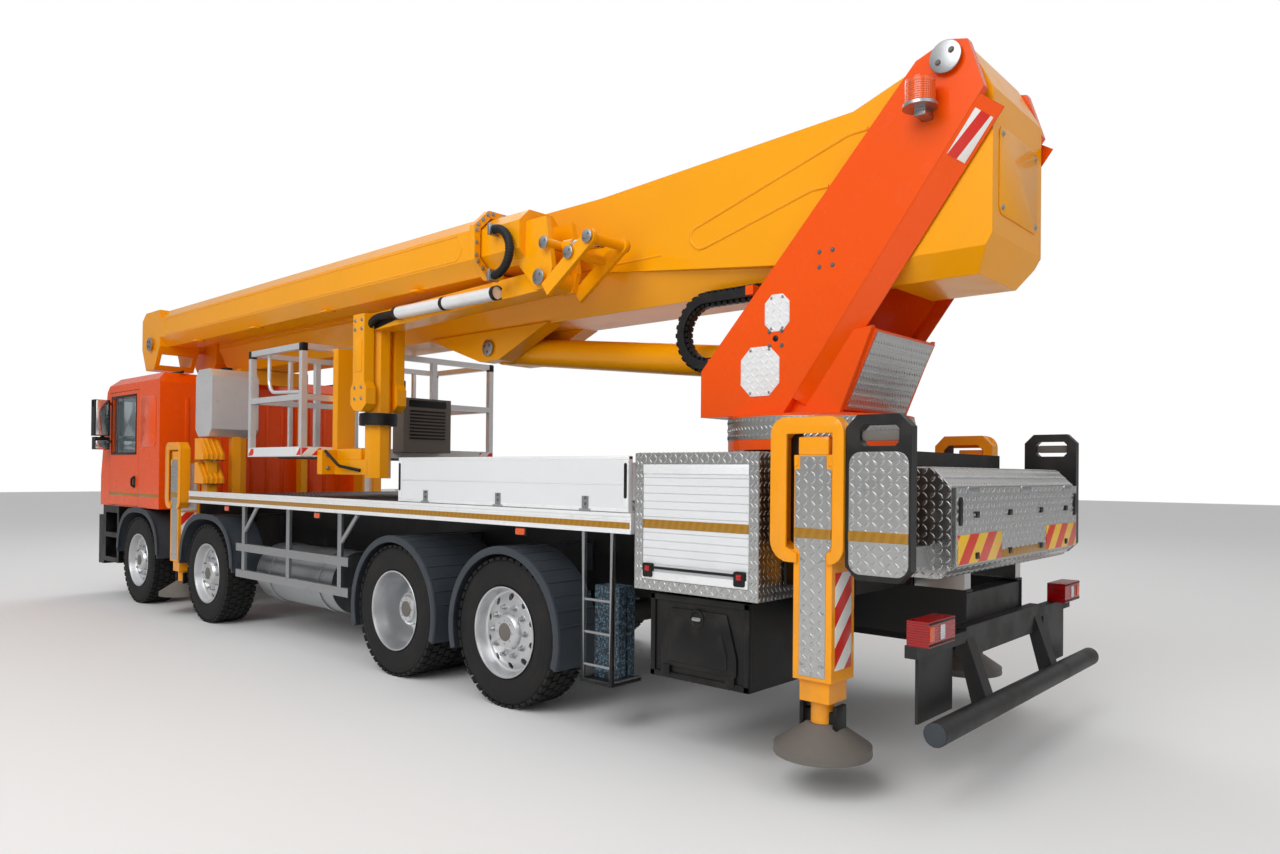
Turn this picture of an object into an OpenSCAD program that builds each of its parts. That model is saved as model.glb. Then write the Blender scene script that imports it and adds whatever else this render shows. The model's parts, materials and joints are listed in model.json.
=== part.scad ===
// Four-axle truck with a telescopic aerial work platform, parked with its boom stowed.
// Row frame in millimetres: +X forward, +Y to the left, +Z up, origin on the ground under the middle.

/* [Wheels and axles] */
// Radius of a tyre
tyre_r = 510; // [480:1:540]
// Width of a tyre
tyre_w = 312; // [280:1:330]
// Radius of the rim flange
rim_r = 302; // [280:1:320]
// Distance between the middles of a pair of twin tyres
twin_pitch = 345; // [340:1:370]
// Distance of a tyre's outer face from the middle of the vehicle
wheel_face_y = 1250; // [1230:1:1265]
// First steered axle
axle_1_x = 4253; // [4200:1:4300]
// Second steered axle
axle_2_x = 2298; // [2250:1:2330]
// Drive axle
axle_3_x = -1216; // [-1240:1:-1190]
// Tag axle
axle_4_x = -2555; // [-2580:1:-2530]
// Distance of the kingpins from the middle
kingpin_y = 880; // [870:1:890]

/* [Chassis frame] */
// Outer faces of the frame rails
rail_y = 425; // [410:1:440]
// Width of a frame rail
rail_w = 80; // [70:1:90]
// Height of a frame rail
rail_h = 270; // [240:1:290]
// Top of the frame rails
rail_top = 990; // [980:1:1000]
// Rear end of the frame rails
frame_rear_x = -5420; // [-5450:1:-5380]
// Front end of the frame rails
frame_front_x = 5380; // [5340:1:5420]
// Radius of the underrun bar
bar_r = 57; // [50:1:65]
// Middle of the underrun bar along the vehicle
bar_x = -5593; // [-5600:1:-5580]
// Height of the middle of the underrun bar
bar_z = 421; // [400:1:440]
// Half length of the underrun bar
bar_half = 1205; // [1150:1:1220]

/* [Cab] */
// Rear wall of the cab
cab_rear_x = 3640; // [3620:1:3660]
// Front of the bumper
cab_front_x = 5650; // [5640:1:5660]
// Half width of the cab
cab_y = 1245; // [1230:1:1255]
// Underside of the cab floor
cab_floor_z = 1130; // [1120:1:1140]
// Top of the cab roof
cab_roof_z = 2720; // [2690:1:2740]
// Thickness of the cab walls and doors
cab_wall = 60; // [50:1:70]
// Front edge of the doors
door_front_x = 5300; // [5290:1:5310]
// Rear edge of the doors
door_rear_x = 4300; // [4290:1:4310]
// Gap around the doors
door_gap = 6; // [5:0.5:8]
// Farthest reach of the mirrors from the middle
mirror_y = 1460; // [1430:1:1500]

/* [Deck and boxes] */
// Half width of the deck
deck_y = 1275; // [1265:1:1275]
// Underside of the deck's side rail
deck_low_z = 1240; // [1230:1:1250]
// Top of the deck's side rail
deck_top_z = 1362; // [1355:1:1370]
// Rear end of the deck
deck_rear_x = -3757; // [-3765:1:-3750]
// Front end of the deck
deck_front_x = 2700; // [2680:1:2720]
// Top of the folding side panels
dropside_top_z = 1700; // [1680:1:1705]
// Rear end of the folding side panels
dropside_rear_x = -3730; // [-3740:1:-3720]
// Front end of the folding side panels
dropside_front_x = -1300; // [-1320:1:-1290]
// Thickness of the folding side panels
dropside_t = 32; // [28:1:36]
// Rear end of the shutter lockers
locker_rear_x = -4658; // [-4662:1:-4650]
// Front end of the shutter lockers
locker_front_x = -3787; // [-3795:1:-3780]
// Underside of the shutter lockers
locker_low_z = 930; // [925:1:940]
// Top of the shutter lockers
locker_top_z = 1714; // [1700:1:1720]
// Wall thickness of sheet boxes
sheet = 20; // [15:1:25]
// Length of a moulded toolbox
toolbox_l = 690; // [660:1:700]
// Height of a moulded toolbox
toolbox_h = 470; // [450:1:480]

/* [Outriggers] */
// Middle of the front outrigger box
outrig_front_x = 3195; // [3190:1:3205]
// Middle of the rear outrigger box
outrig_rear_x = -4882; // [-4886:1:-4878]
// Width of an outrigger beam
beam_w = 190; // [180:1:195]
// Height of an outrigger beam
beam_h = 210; // [200:1:220]
// Underside of the outrigger beams
beam_z = 1010; // [1005:1:1015]
// Wall of the outrigger box around its beams
box_wall = 16; // [12:1:18]
// Sliding clearance of beams and legs
slide_gap = 0.6; // [0.4:0.1:0.9]
// Width of a leg casing
casing_w = 220; // [215:1:225]
// Top of a leg casing
casing_top_z = 1700; // [1690:1:1710]
// Underside of a leg casing
casing_low_z = 580; // [570:1:590]
// Underside of a foot at rest
foot_low_z = 205; // [200:1:220]
// Radius of a foot
foot_r = 245; // [235:1:255]

/* [Tower and boom] */
// Slewing axis along the vehicle
slew_x = -4260; // [-4270:1:-4250]
// Height of the turntable's top, where the tower stands
turn_z = 1970; // [1965:1:1980]
// Radius of the turntable
turn_r = 600; // [590:1:610]
// Boom pivot along the vehicle
pivot_x = -5320; // [-5325:1:-5315]
// Height of the boom pivot
pivot_z = 3850; // [3840:1:3855]
// Radius of the boom pivot pin
pivot_r = 70; // [65:1:75]
// Outer faces of the tower's side plates
tower_y = 490; // [485:1:500]
// Thickness of the tower's side plates
tower_t = 60; // [55:1:64]
// Half width of the boom's base section
boom_y = 385; // [380:1:390]
// Top of the boom's base section
boom_top_z = 3660; // [3650:1:3670]
// Underside of the boom's base section
boom_low_z = 2815; // [2810:1:2825]
// Wall of the boom sections
boom_wall = 22; // [20:1:24]
// Running gap between boom sections
boom_gap = 20; // [18:1:22]
// Slack that the wear pads leave in a running gap
pad_slack = 0.5; // [0.3:0.1:0.8]
// Front end of the boom's base section
boom_front_x = 4150; // [4130:1:4160]
// Lift cylinder's pin on the boom, along the vehicle
lift_pin_x = -1150; // [-1160:1:-1140]
// Lift cylinder's pin on the boom, height
lift_pin_z = 2670; // [2660:1:2680]
// Lift cylinder's pin in the tower, along the vehicle
anchor_x = -4250; // [-4260:1:-4240]
// Lift cylinder's pin in the tower, height
anchor_z = 2320; // [2310:1:2330]
// Radius of the lift cylinder's barrel
barrel_r = 118; // [115:1:122]
// Radius of the lift cylinder's rod
piston_rod_r = 80; // [76:1:84]

/* [Jib and cage] */
// Middle of the jib across the vehicle
jib_y = 720; // [715:1:725]
// Half width of the jib
jib_half = 235; // [230:1:240]
// Underside of the jib
jib_low_z = 3110; // [3105:1:3115]
// Top of the jib
jib_top_z = 3560; // [3550:1:3570]
// Rear end of the jib's base section
jib_rear_x = -1860; // [-1870:1:-1850]
// Jib's pivot at the boom's head, along the vehicle
jib_pin_x = 4750; // [4740:1:4760]
// Jib's pivot at the boom's head, height
jib_pin_z = 3150; // [3145:1:3155]
// Basket arm's pivot along the vehicle
arm_pin_x = -2480; // [-2490:1:-2470]
// Basket arm's pivot, height
arm_pin_z = 3000; // [2995:1:3003]
// Cage post along the vehicle
post_x = -100; // [-110:1:-90]
// Rear side of the cage
cage_rear_x = 550; // [545:1:560]
// Front side of the cage
cage_front_x = 1650; // [1640:1:1655]
// Left side of the cage
cage_left_y = 1120; // [1110:1:1125]
// Right side of the cage
cage_right_y = -1100; // [-1105:1:-1090]
// Underside of the cage
cage_low_z = 1725; // [1722:1:1730]
// Top rail of the cage
cage_top_z = 2780; // [2770:1:2785]
// Width of the cage's square tubes
cage_tube = 55; // [45:1:60]

/* [Hidden] */
$fn = 64;

seat = 0.3;
eps = 1;
axle_z = tyre_r;
rail_low = rail_top - rail_h;
rail_mid = rail_y - rail_w / 2;
wheel_y = wheel_face_y - tyre_w / 2;
tyre_in = wheel_face_y - tyre_w;

orange = [0.93, 0.24, 0.03];
yellow = [1.0, 0.60, 0.04];
alu = [0.78, 0.79, 0.80];
black = [0.10, 0.10, 0.11];
white = [0.90, 0.91, 0.91];
steel = [0.55, 0.56, 0.58];

// Box between two corners
module block(x0, x1, y0, y1, z0, z1) translate([x0, y0, z0]) cube([x1 - x0, y1 - y0, z1 - z0]);

// Round bars along each axis
module bar_along_x(x0, x1, y, z, r) translate([x0, y, z]) rotate([0, 90, 0]) cylinder(r = r, h = x1 - x0);
module bar_along_y(x, y0, y1, z, r) translate([x, y1, z]) rotate([90, 0, 0]) cylinder(r = r, h = y1 - y0);
module bar_along_z(x, y, z0, z1, r) translate([x, y, z0]) cylinder(r = r, h = z1 - z0);

// An XZ outline carried across the vehicle, and a YZ outline carried along it
module across(y0, y1) translate([0, y1, 0]) rotate([90, 0, 0]) linear_extrude(y1 - y0) children();
module along(x0, x1) translate([x0, 0, 0]) rotate([90, 0, 90]) linear_extrude(x1 - x0) children();

// The same shape on both sides of the vehicle
module both_sides() {
  children();
  mirror([0, 1, 0]) children();
}

// Side +1 stays on the left, side -1 goes to the right
module on_side(side) mirror([0, side < 0 ? 1 : 0, 0]) children();

// Rectangle with cut corners
module cut_rect(x0, x1, z0, z1, c)
  polygon([[x0 + c, z0], [x1 - c, z0], [x1, z0 + c], [x1, z1 - c], [x1 - c, z1], [x0 + c, z1],
    [x0, z1 - c], [x0, z0 + c]]);

// Straight bar of a given half height between two points of an XZ plane
module strut(p, q, half, y0, y1) {
  d = q - p;
  n = [-d[1], d[0]] / norm(d) * half;
  across(y0, y1) polygon([p + n, p - n, q - n, q + n]);
}

// Round-shouldered tyre, its middle at the origin and its axis along Y
shoulder = 45;
bead_w = 40;
module tyre() rotate([90, 0, 0]) rotate_extrude() {
  half = tyre_w / 2;
  difference() {
    union() {
      translate([rim_r + seat, -half + shoulder]) square([tyre_r - rim_r - seat, tyre_w - 2 * shoulder]);
      translate([rim_r + seat, -half]) square([tyre_r - rim_r - seat - shoulder, tyre_w]);
      for (s = [-1, 1]) translate([tyre_r - shoulder, s * (half - shoulder)]) circle(shoulder);
    }
    translate([rim_r - 40, -half + bead_w]) square([40 + 60, tyre_w - 2 * bead_w]);
  }
}

// Rim: a barrel, a disc set in or out by dish, and a hub; out is the outer side along +Y
rim_wall = 14;
disc_t = 26;
bolt_circle_r = 168;
nut_r = 16;
nut_count = 10;
hand_hole_r = 24;
hand_hole_ring_r = 235;
hub_r = 140;
module rim(dish, hub_out) rotate([-90, 0, 0]) {
  half = tyre_w / 2;
  difference() {
    union() {
      difference() {
        translate([0, 0, -half]) cylinder(r = rim_r, h = tyre_w);
        translate([0, 0, -half - eps]) cylinder(r = rim_r - rim_wall, h = tyre_w + 2 * eps);
      }
      translate([0, 0, dish - disc_t / 2]) cylinder(r = rim_r - rim_wall / 2, h = disc_t);
      translate([0, 0, min(dish, hub_out)]) cylinder(r = hub_r, h = abs(hub_out - dish));
      for (i = [0:nut_count - 1]) rotate([0, 0, i * 360 / nut_count])
        translate([bolt_circle_r, 0, dish]) cylinder(r = nut_r, h = disc_t / 2 + 30);
    }
    for (i = [0:nut_count - 1]) rotate([0, 0, (i + 0.5) * 360 / nut_count])
      translate([hand_hole_ring_r, 0, dish - disc_t]) cylinder(r = hand_hole_r, h = 2 * disc_t);
  }
}

// Single wheel on a hub bore that runs on its stub axle
stub_r = 62;
stub_fit = 0.4;
single_dish = 60;
hub_in = -60;
module single_wheel(x, side) translate([x, side * wheel_y, axle_z]) on_side(side) {
  tyre();
  difference() {
    union() {
      rim(single_dish, tyre_w / 2 - 20);
      rotate([-90, 0, 0]) translate([0, 0, hub_in]) cylinder(r = hub_r - 20, h = single_dish - hub_in);
    }
    rotate([-90, 0, 0]) translate([0, 0, hub_in - eps])
      cylinder(r = stub_r + stub_fit, h = stub_len + eps + 10);
  }
}

// Twin wheel: two tyres and deep rims joined by their hub
twin_dish = (disc_t - twin_pitch) / 2;
module twin_wheel(x, side) translate([x, side * wheel_y, axle_z]) on_side(side) {
  tyre();
  translate([0, -twin_pitch, 0]) tyre();
  difference() {
    union() {
      rim(twin_dish, 40);
      translate([0, -twin_pitch, 0]) rim(-twin_dish, -40);
      rotate([-90, 0, 0]) translate([0, 0, -twin_pitch - 40]) cylinder(r = hub_r, h = twin_pitch);
    }
    rotate([-90, 0, 0]) translate([0, 0, -twin_pitch - 40 - eps])
      cylinder(r = stub_r + stub_fit, h = twin_stub_len + eps + 10);
  }
}

// Steering knuckle: two arms on a kingpin, a drum inside the rim and the wheel's stub axle
stub_len = 170;
twin_stub_len = 300;
kingpin_r = 45;
kingpin_fit = 0.4;
fist_r = 85;
fist_h = 150;
arm_h = 70;
arm_gap = 6;
drum_r = 205;
drum_gap = 8;
drum_in = kingpin_y + fist_r + 22;
hub_face = wheel_y + hub_in;
module knuckle(x, side) translate([x, 0, axle_z]) on_side(side) {
  top = fist_h / 2 + arm_gap + arm_h;
  bar_along_z(0, kingpin_y, -top, top, kingpin_r);
  for (s = [-1, 1]) {
    z0 = s > 0 ? top - arm_h : -top;
    bar_along_z(0, kingpin_y, z0, z0 + arm_h, kingpin_r + 30);
    block(-70, 70, kingpin_y, drum_in + 10, z0, z0 + arm_h);
  }
  bar_along_y(0, drum_in, hub_face - drum_gap, 0, drum_r);
  bar_along_y(0, hub_face - drum_gap - eps, hub_face + stub_len, 0, stub_r);
}

// Beam of a steered axle: a dropped middle, two fists around the kingpins and two spring packs to the rails
spring_w = 90;
spring_l = 900;
beam_drop = 90;
module steered_beam(x) translate([x, 0, 0]) {
  difference() {
    union() {
      block(-70, 70, -kingpin_y + 120, kingpin_y - 120, axle_z - beam_drop - 60, axle_z - beam_drop + 60);
      both_sides() {
        block(-70, 70, kingpin_y - 160, kingpin_y, axle_z - fist_h / 2, axle_z + fist_h / 2);
        bar_along_z(0, kingpin_y, axle_z - fist_h / 2, axle_z + fist_h / 2, fist_r);
      }
    }
    both_sides() bar_along_z(0, kingpin_y, axle_z - tyre_r, axle_z + tyre_r, kingpin_r + kingpin_fit);
  }
  springs();
}

// Spring pack under each rail, with a block at each end that meets the rail
module springs() both_sides() {
  block(-spring_l / 2, spring_l / 2, rail_mid - spring_w / 2, rail_mid + spring_w / 2,
    axle_z + 20, axle_z + 90);
  block(-60, 60, rail_mid - spring_w / 2, rail_mid + spring_w / 2, axle_z - beam_drop, axle_z + 30);
  for (s = [-1, 1]) block(s * spring_l / 2 - 50, s * spring_l / 2 + 50, rail_mid - spring_w / 2,
    rail_mid + spring_w / 2, axle_z + 30, rail_low);
}

// Fixed axle tube with stubs; bulge_r is the radius of a drive axle's differential
tube_r = 85;
module fixed_beam(x, stub_in, stub_out, bulge_r) translate([x, 0, 0]) {
  both_sides() bar_along_y(0, -eps, stub_in, axle_z, tube_r);
  both_sides() bar_along_y(0, stub_in - eps, stub_out, axle_z, stub_r);
  if (bulge_r > 0) intersection() {
    translate([0, 0, axle_z]) sphere(bulge_r);
    block(-bulge_r, bulge_r, -bulge_r, bulge_r, 0, 2 * tyre_r);
  }
  scale_l = 0.62;
  both_sides() {
    block(-spring_l * scale_l / 2, spring_l * scale_l / 2, rail_mid - spring_w / 2,
      rail_mid + spring_w / 2, axle_z - 40, axle_z + 40);
    for (s = [-1, 1]) bar_along_z(s * (spring_l * scale_l / 2 - 110), rail_mid, axle_z + 30, rail_low,
      spring_w / 2);
  }
}

twin_face = wheel_y - twin_pitch - 40;
diff_r = 230;
module axles() color(steel) {
  steered_beam(axle_1_x);
  steered_beam(axle_2_x);
  fixed_beam(axle_3_x, twin_face - drum_gap, twin_face + twin_stub_len, diff_r);
  fixed_beam(axle_4_x, hub_face - drum_gap, hub_face + stub_len, 0);
}

// Ladder frame with cross members
cross_half = 50;
cross_members = [frame_rear_x + 60, -3300, -1886, -300, 1000, 2950];
web_t = 12;
module frame() color(black) {
  both_sides() difference() {
    block(frame_rear_x, frame_front_x, rail_y - rail_w, rail_y, rail_low, rail_top);
    block(frame_rear_x - eps, frame_front_x + eps, rail_y - rail_w - eps, rail_y - web_t,
      rail_low + web_t, rail_top - web_t);
  }
  for (x = cross_members) block(x - cross_half, x + cross_half, -rail_y + 10, rail_y - 10,
    rail_low + 60, rail_top - 20);
}

// Underrun guard: a plate on the rail ends, drop legs, the round bar, the light bar and two mudflaps
leg_y = 520;
leg_half = 50;
plate_rear_x = frame_rear_x - 60;
plate_front_x = frame_rear_x - seat;
plate_low_z = rail_low - 60;
plate_h = 160;
drop_top_z = rail_low + 40;
drop_low_z = bar_z - 30;
tail_low_z = 800;
tail_out_y = 1163;
tail_l = 300;
tail_h = 120;
light_bar_h = 60;
flap_in_y = 700;
flap_out_y = 1100;
flap_low_z = 420;
mudflap_t = 15;
module underrun() color(black) {
  block(plate_rear_x, plate_front_x, -leg_y - leg_half, leg_y + leg_half, plate_low_z, plate_low_z + plate_h);
  both_sides() across(leg_y - leg_half, leg_y + leg_half) polygon([[plate_rear_x, drop_top_z],
    [plate_front_x, drop_top_z], [bar_x + 75, drop_low_z], [bar_x - 20, drop_low_z]]);
  bar_along_y(bar_x, -bar_half, bar_half, bar_z, bar_r);
  block(plate_rear_x, plate_front_x, -tail_out_y, tail_out_y, tail_low_z - light_bar_h, tail_low_z);
  both_sides() block(plate_rear_x + 20, plate_rear_x + 20 + mudflap_t, flap_in_y, flap_out_y, flap_low_z,
    tail_low_z - light_bar_h + 10);
}

// Engine, gearbox and shaft: one block on ears that meet the rails
engine_rear_x = 3800;
engine_front_x = 5200;
engine_half = 300;
engine_low_z = 640;
gearbox_rear_x = engine_rear_x - 700;
gearbox_half = 200;
gearbox_low_z = 600;
gearbox_top_z = 920;
shaft_z = 690;
shaft_r = 55;
ear_low_z = 800;
ear_h = 100;
ear_half = 60;
module powertrain() color(steel) {
  block(engine_rear_x, engine_front_x, -engine_half, engine_half, engine_low_z, cab_floor_z - 60);
  block(gearbox_rear_x, engine_rear_x + 20, -gearbox_half, gearbox_half, gearbox_low_z, gearbox_top_z);
  bar_along_x(axle_3_x + diff_r + 5, gearbox_rear_x + 20, 0, shaft_z, shaft_r);
  for (x = [engine_rear_x + 200, engine_front_x - 200])
    block(x - ear_half, x + ear_half, -rail_y + web_t, rail_y - web_t, ear_low_z, ear_low_z + ear_h);
}

// Side outline of the cab, drawn at a distance in from its outer face
face_x = cab_front_x - 40;
scuttle_z = 1760;
face_top_z = scuttle_z - 260;
brow_x = 5400;
brow_z = 2560;
roof_lip = 120;
module cab_outline(in) polygon([
  [cab_rear_x + in, cab_floor_z + in], [face_x - in, cab_floor_z + in], [face_x - in, face_top_z],
  [face_x - 50 - in, scuttle_z], [brow_x - in, brow_z], [brow_x - 200 - in * 0.4, cab_roof_z - in],
  [cab_rear_x + roof_lip + in * 0.4, cab_roof_z - in], [cab_rear_x + in, cab_roof_z - roof_lip - in * 0.4]]);

// Cab shell with its door openings, windscreen opening and rear window
door_low_z = cab_floor_z + 15;
door_top_z = 2540;
screen_low_z = scuttle_z + 70;
screen_top_z = brow_z - 60;
screen_half = cab_y - 110;
roof_edge = 90;
module cab_shell() color(orange) difference() {
  across(-cab_y, cab_y) cab_outline(0);
  across(-cab_y + cab_wall, cab_y - cab_wall) cab_outline(cab_wall);
  both_sides() block(door_rear_x - door_gap, door_front_x + door_gap, cab_y - cab_wall - eps,
    cab_y + eps, door_low_z - door_gap, door_top_z + door_gap);
  block(brow_x - 150, cab_front_x, -screen_half, screen_half, screen_low_z, screen_top_z);
  both_sides() along(cab_rear_x - eps, cab_front_x) polygon([[cab_y + eps, cab_roof_z + eps],
    [cab_y - roof_edge, cab_roof_z + eps], [cab_y + eps, cab_roof_z - roof_edge]]);
}

// Windscreen, laid in its opening, and the head lamp lenses in the bumper's pockets
glass_t = 12;
glass_in = 20;
lamp_in_y = 760;
lamp_out_y = 1120;
lamp_low_z = 760;
lamp_h = 180;
lamp_d = 30;
module cab_glass() color([0.2, 0.25, 0.27, 0.5]) {
  intersection() {
    across(-screen_half + seat, screen_half - seat) polygon([
      [face_x - 50 - glass_in, scuttle_z], [brow_x - glass_in, brow_z],
      [brow_x - glass_in - glass_t, brow_z], [face_x - 50 - glass_in - glass_t, scuttle_z]]);
    block(brow_x - 200, cab_front_x, -cab_y, cab_y, screen_low_z + seat, screen_top_z - seat);
  }
  both_sides() block(cab_front_x - lamp_d, cab_front_x - 6, lamp_in_y + seat, lamp_out_y - seat,
    lamp_low_z + seat, lamp_low_z + lamp_h - seat);
}

// Bumper, grille and entry steps under the cab
bumper_low_z = 380;
bumper_d = 190;
grille_half = 700;
slat_pitch = 95;
slat_count = 3;
slat_low_z = 720;
slat_open = 60;
bumper_top_z = 1000;
front_wall = 60;
step_zs = [480, 790];
step_h = 250;
step_in_y = 780;
step_clear = 167;
step_rear_x = axle_1_x + tyre_r + step_clear;
step_depth = 200;
module cab_front() color(black) {
  front_end = cab_front_x - bumper_d;
  wall_x = cab_front_x - front_wall;
  difference() {
    union() {
      block(front_end, cab_front_x, -cab_y, cab_y, bumper_low_z, bumper_top_z);
      block(front_end, cab_front_x - 20, -cab_y + 40, cab_y - 40, bumper_top_z, cab_floor_z);
      both_sides() block(step_rear_x, front_end + eps, step_in_y, cab_y, bumper_low_z + 40, cab_floor_z);
      both_sides() block(frame_front_x, front_end + eps, rail_y - rail_w, rail_y, rail_low, rail_top);
    }
    both_sides() block(cab_front_x - lamp_d, cab_front_x + eps, lamp_in_y, lamp_out_y, lamp_low_z,
      lamp_low_z + lamp_h);
    both_sides() across(cab_y - step_depth, cab_y + eps) for (z = step_zs)
      translate([step_rear_x + 60, z]) square([front_end - step_rear_x - 120, step_h]);
    block(front_end - eps, wall_x, -rail_y + rail_w + 20, rail_y - rail_w - 20, bumper_low_z + 60,
      cab_floor_z + eps);
    both_sides() block(front_end - eps, wall_x, rail_y + 20, lamp_in_y, bumper_low_z + 60, bumper_top_z - 40);
    for (i = [0:slat_count - 1]) {
      z = slat_low_z + i * slat_pitch;
      block(wall_x - eps, cab_front_x + eps, -grille_half, grille_half, z, z + slat_open);
    }
  }
}

// Seats, dashboard and steering wheel on the cab floor
seat_y = 600;
seat_half = 240;
seat_rear_x = door_rear_x - 180;
seat_l = 520;
seat_h = 420;
back_x = seat_rear_x - 10;
back_t = 140;
back_h = 1150;
back_lean = 120;
dash_rear_x = door_front_x - 130;
dash_l = 300;
dash_half = cab_y - cab_wall - 40;
knee_h = 290;
knee_wall = 80;
steer_x = door_front_x - 240;
steer_r = 215;
steer_tube_r = 18;
steer_tilt = 55;
spoke_r = 12;
column_r = 35;
column_l = 300;
module cab_interior() color([0.16, 0.16, 0.18]) {
  low = cab_floor_z + cab_wall;
  both_sides() {
    block(seat_rear_x, seat_rear_x + seat_l, seat_y - seat_half, seat_y + seat_half, low, low + seat_h);
    across(seat_y - seat_half, seat_y + seat_half) polygon([[back_x, low + seat_h - 20],
      [back_x + back_t, low + seat_h - 20], [back_x + back_t - back_lean, low + back_h],
      [back_x - back_lean, low + back_h]]);
  }
  difference() {
    block(dash_rear_x, dash_rear_x + dash_l, -dash_half, dash_half, low, scuttle_z - 30);
    block(dash_rear_x - 10, dash_rear_x + dash_l - 50, -dash_half + knee_wall, dash_half - knee_wall,
      low - eps, low + knee_h);
  }
  translate([steer_x, seat_y, scuttle_z]) rotate([0, -steer_tilt, 0]) {
    rotate_extrude() translate([steer_r, 0]) circle(steer_tube_r, $fn = 24);
    for (a = [0, 120, 240]) rotate([0, 0, a]) bar_along_x(0, steer_r - 3, 0, 0, spoke_r);
    translate([0, 0, -column_l]) cylinder(r = column_r, h = column_l + 20);
  }
}

// Door with its window opening, hinge lugs, and the two-part mirror on its arms
hinge_gap = 0.5;
lug_h = 90;
win_low_z = 1790;
win_top_z = 2470;
win_in = 90;
module door(side) color(orange) on_side(side) {
  y0 = cab_y - cab_wall;
  difference() {
    block(door_rear_x, door_front_x, y0, cab_y, door_low_z, door_top_z);
    block(door_rear_x + win_in, door_front_x - win_in, y0 - eps, cab_y + eps, win_low_z, win_top_z);
  }
  for (z = [door_low_z + 150, win_low_z - 200])
    block(door_front_x - 20, door_front_x + door_gap - hinge_gap, y0 + 10, cab_y - 4, z, z + lug_h);
  for (z = [win_low_z + 120, win_top_z - 80])
    block(door_front_x - 70, door_front_x - 30, cab_y - 10, mirror_y - 120, z, z + 40);
  mirror_x = door_front_x - 110;
  block(mirror_x - 40, mirror_x + 90, mirror_y - 170, mirror_y, win_low_z + 210, win_top_z - 20);
  block(mirror_x - 40, mirror_x + 90, mirror_y - 170, mirror_y - 10, win_low_z + 40, win_low_z + 196);
  block(mirror_x + 20, mirror_x + 50, mirror_y - 130, mirror_y - 90, win_low_z + 190, win_low_z + 220);
}

module door_glass(side) color([0.2, 0.25, 0.27, 0.5]) on_side(side) {
  y_mid = cab_y - cab_wall / 2;
  block(door_rear_x + win_in + seat, door_front_x - win_in - seat, y_mid - glass_t / 2,
    y_mid + glass_t / 2, win_low_z + seat, win_top_z - seat);
}

// Tail lamps standing on the light bar of the frame
module tail_lamps() color([0.75, 0.05, 0.04]) both_sides()
  block(plate_rear_x - 60, frame_rear_x - 10, tail_out_y - tail_l, tail_out_y, tail_low_z,
    tail_low_z + tail_h);

// Fuel tanks with straps, on brackets from the rails
tank_r = 280;
tank_y = 850;
tank_z = 585;
tank_rear_x = -50;
tank_front_x = 1400;
module fuel_tank() color(alu) both_sides() {
  bar_along_x(tank_rear_x, tank_front_x, tank_y, tank_z, tank_r);
  for (x = [tank_rear_x + 250, tank_front_x - 250]) {
    bar_along_x(x - 35, x + 35, tank_y, tank_z, tank_r + 10);
    block(x - 35, x + 35, rail_y, tank_y, rail_low + 10, rail_low + 90);
  }
}

// Arched mudguard over a wheel, flat along its top; its stay reaches the frame rail
guard_t = 18;
steered_guard_r = 650;
steered_guard_top_z = 1113;
fixed_guard_r = 566;
fixed_guard_top_z = axle_z + 580;
guard_end_z = 330;
module mudguard(x, r, low_z, top_z, y_in) both_sides() {
  difference() {
    intersection() {
      bar_along_y(x, y_in, deck_y - 4, axle_z, r + guard_t);
      block(x - 2 * r, x + 2 * r, 0, 2 * deck_y, low_z, top_z);
    }
    difference() {
      bar_along_y(x, y_in - eps, deck_y, axle_z, r);
      block(x - 2 * r, x + 2 * r, 0, 2 * deck_y, top_z - guard_t, 4 * r);
    }
  }
  block(x - 40, x + 40, rail_y, y_in + 60, top_z - guard_t + 2, top_z - 2);
  block(x - 40, x + 40, rail_y, rail_y + 20, rail_top - 120, top_z - 2);
}

module mudguards() color(black) {
  for (x = [axle_1_x, axle_2_x]) mudguard(x, steered_guard_r, axle_z + 60, steered_guard_top_z, tyre_in - 10);
  mudguard(axle_3_x, fixed_guard_r, guard_end_z, fixed_guard_top_z, tyre_in - twin_pitch);
  mudguard(axle_4_x, fixed_guard_r, guard_end_z, fixed_guard_top_z, tyre_in - 10);
}

// Side guard rails between the axles, hung from the deck's side rail
guard_rear_x = -560;
guard_front_x = 1560;
guard_rail_h = 75;
guard_rail_zs = [545, 800];
guard_post_half = 30;
guard_post_xs = [guard_rear_x + 150, (guard_rear_x + guard_front_x) / 2, guard_front_x - 150];
module side_guards() color(alu) both_sides() {
  for (z = guard_rail_zs)
    block(guard_rear_x, guard_front_x, deck_y - 45, deck_y - 10, z, z + guard_rail_h);
  for (x = guard_post_xs) block(x - guard_post_half, x + guard_post_half, deck_y - 40, deck_y - 14,
    guard_rail_zs[0] + 15, deck_low_z);
}

// Deck: side rails, a floor sheet and bearers that rest on the subframe
floor_z = deck_top_z - 30;
subframe_top = deck_low_z;
bearer_h = floor_z - subframe_top - 20;
module deck() color(alu) {
  both_sides() block(deck_rear_x, deck_front_x, deck_y - 40, deck_y, deck_low_z, deck_top_z);
  block(deck_rear_x, deck_front_x, -deck_y + 30, deck_y - 30, floor_z - 20, floor_z);
  bearer_count = 10;
  for (i = [0:bearer_count]) {
    x = deck_rear_x + i * (deck_front_x - deck_rear_x - 80) / bearer_count;
    block(x, x + 80, -deck_y + 30, deck_y - 30, subframe_top, floor_z - 10);
  }
}

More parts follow.
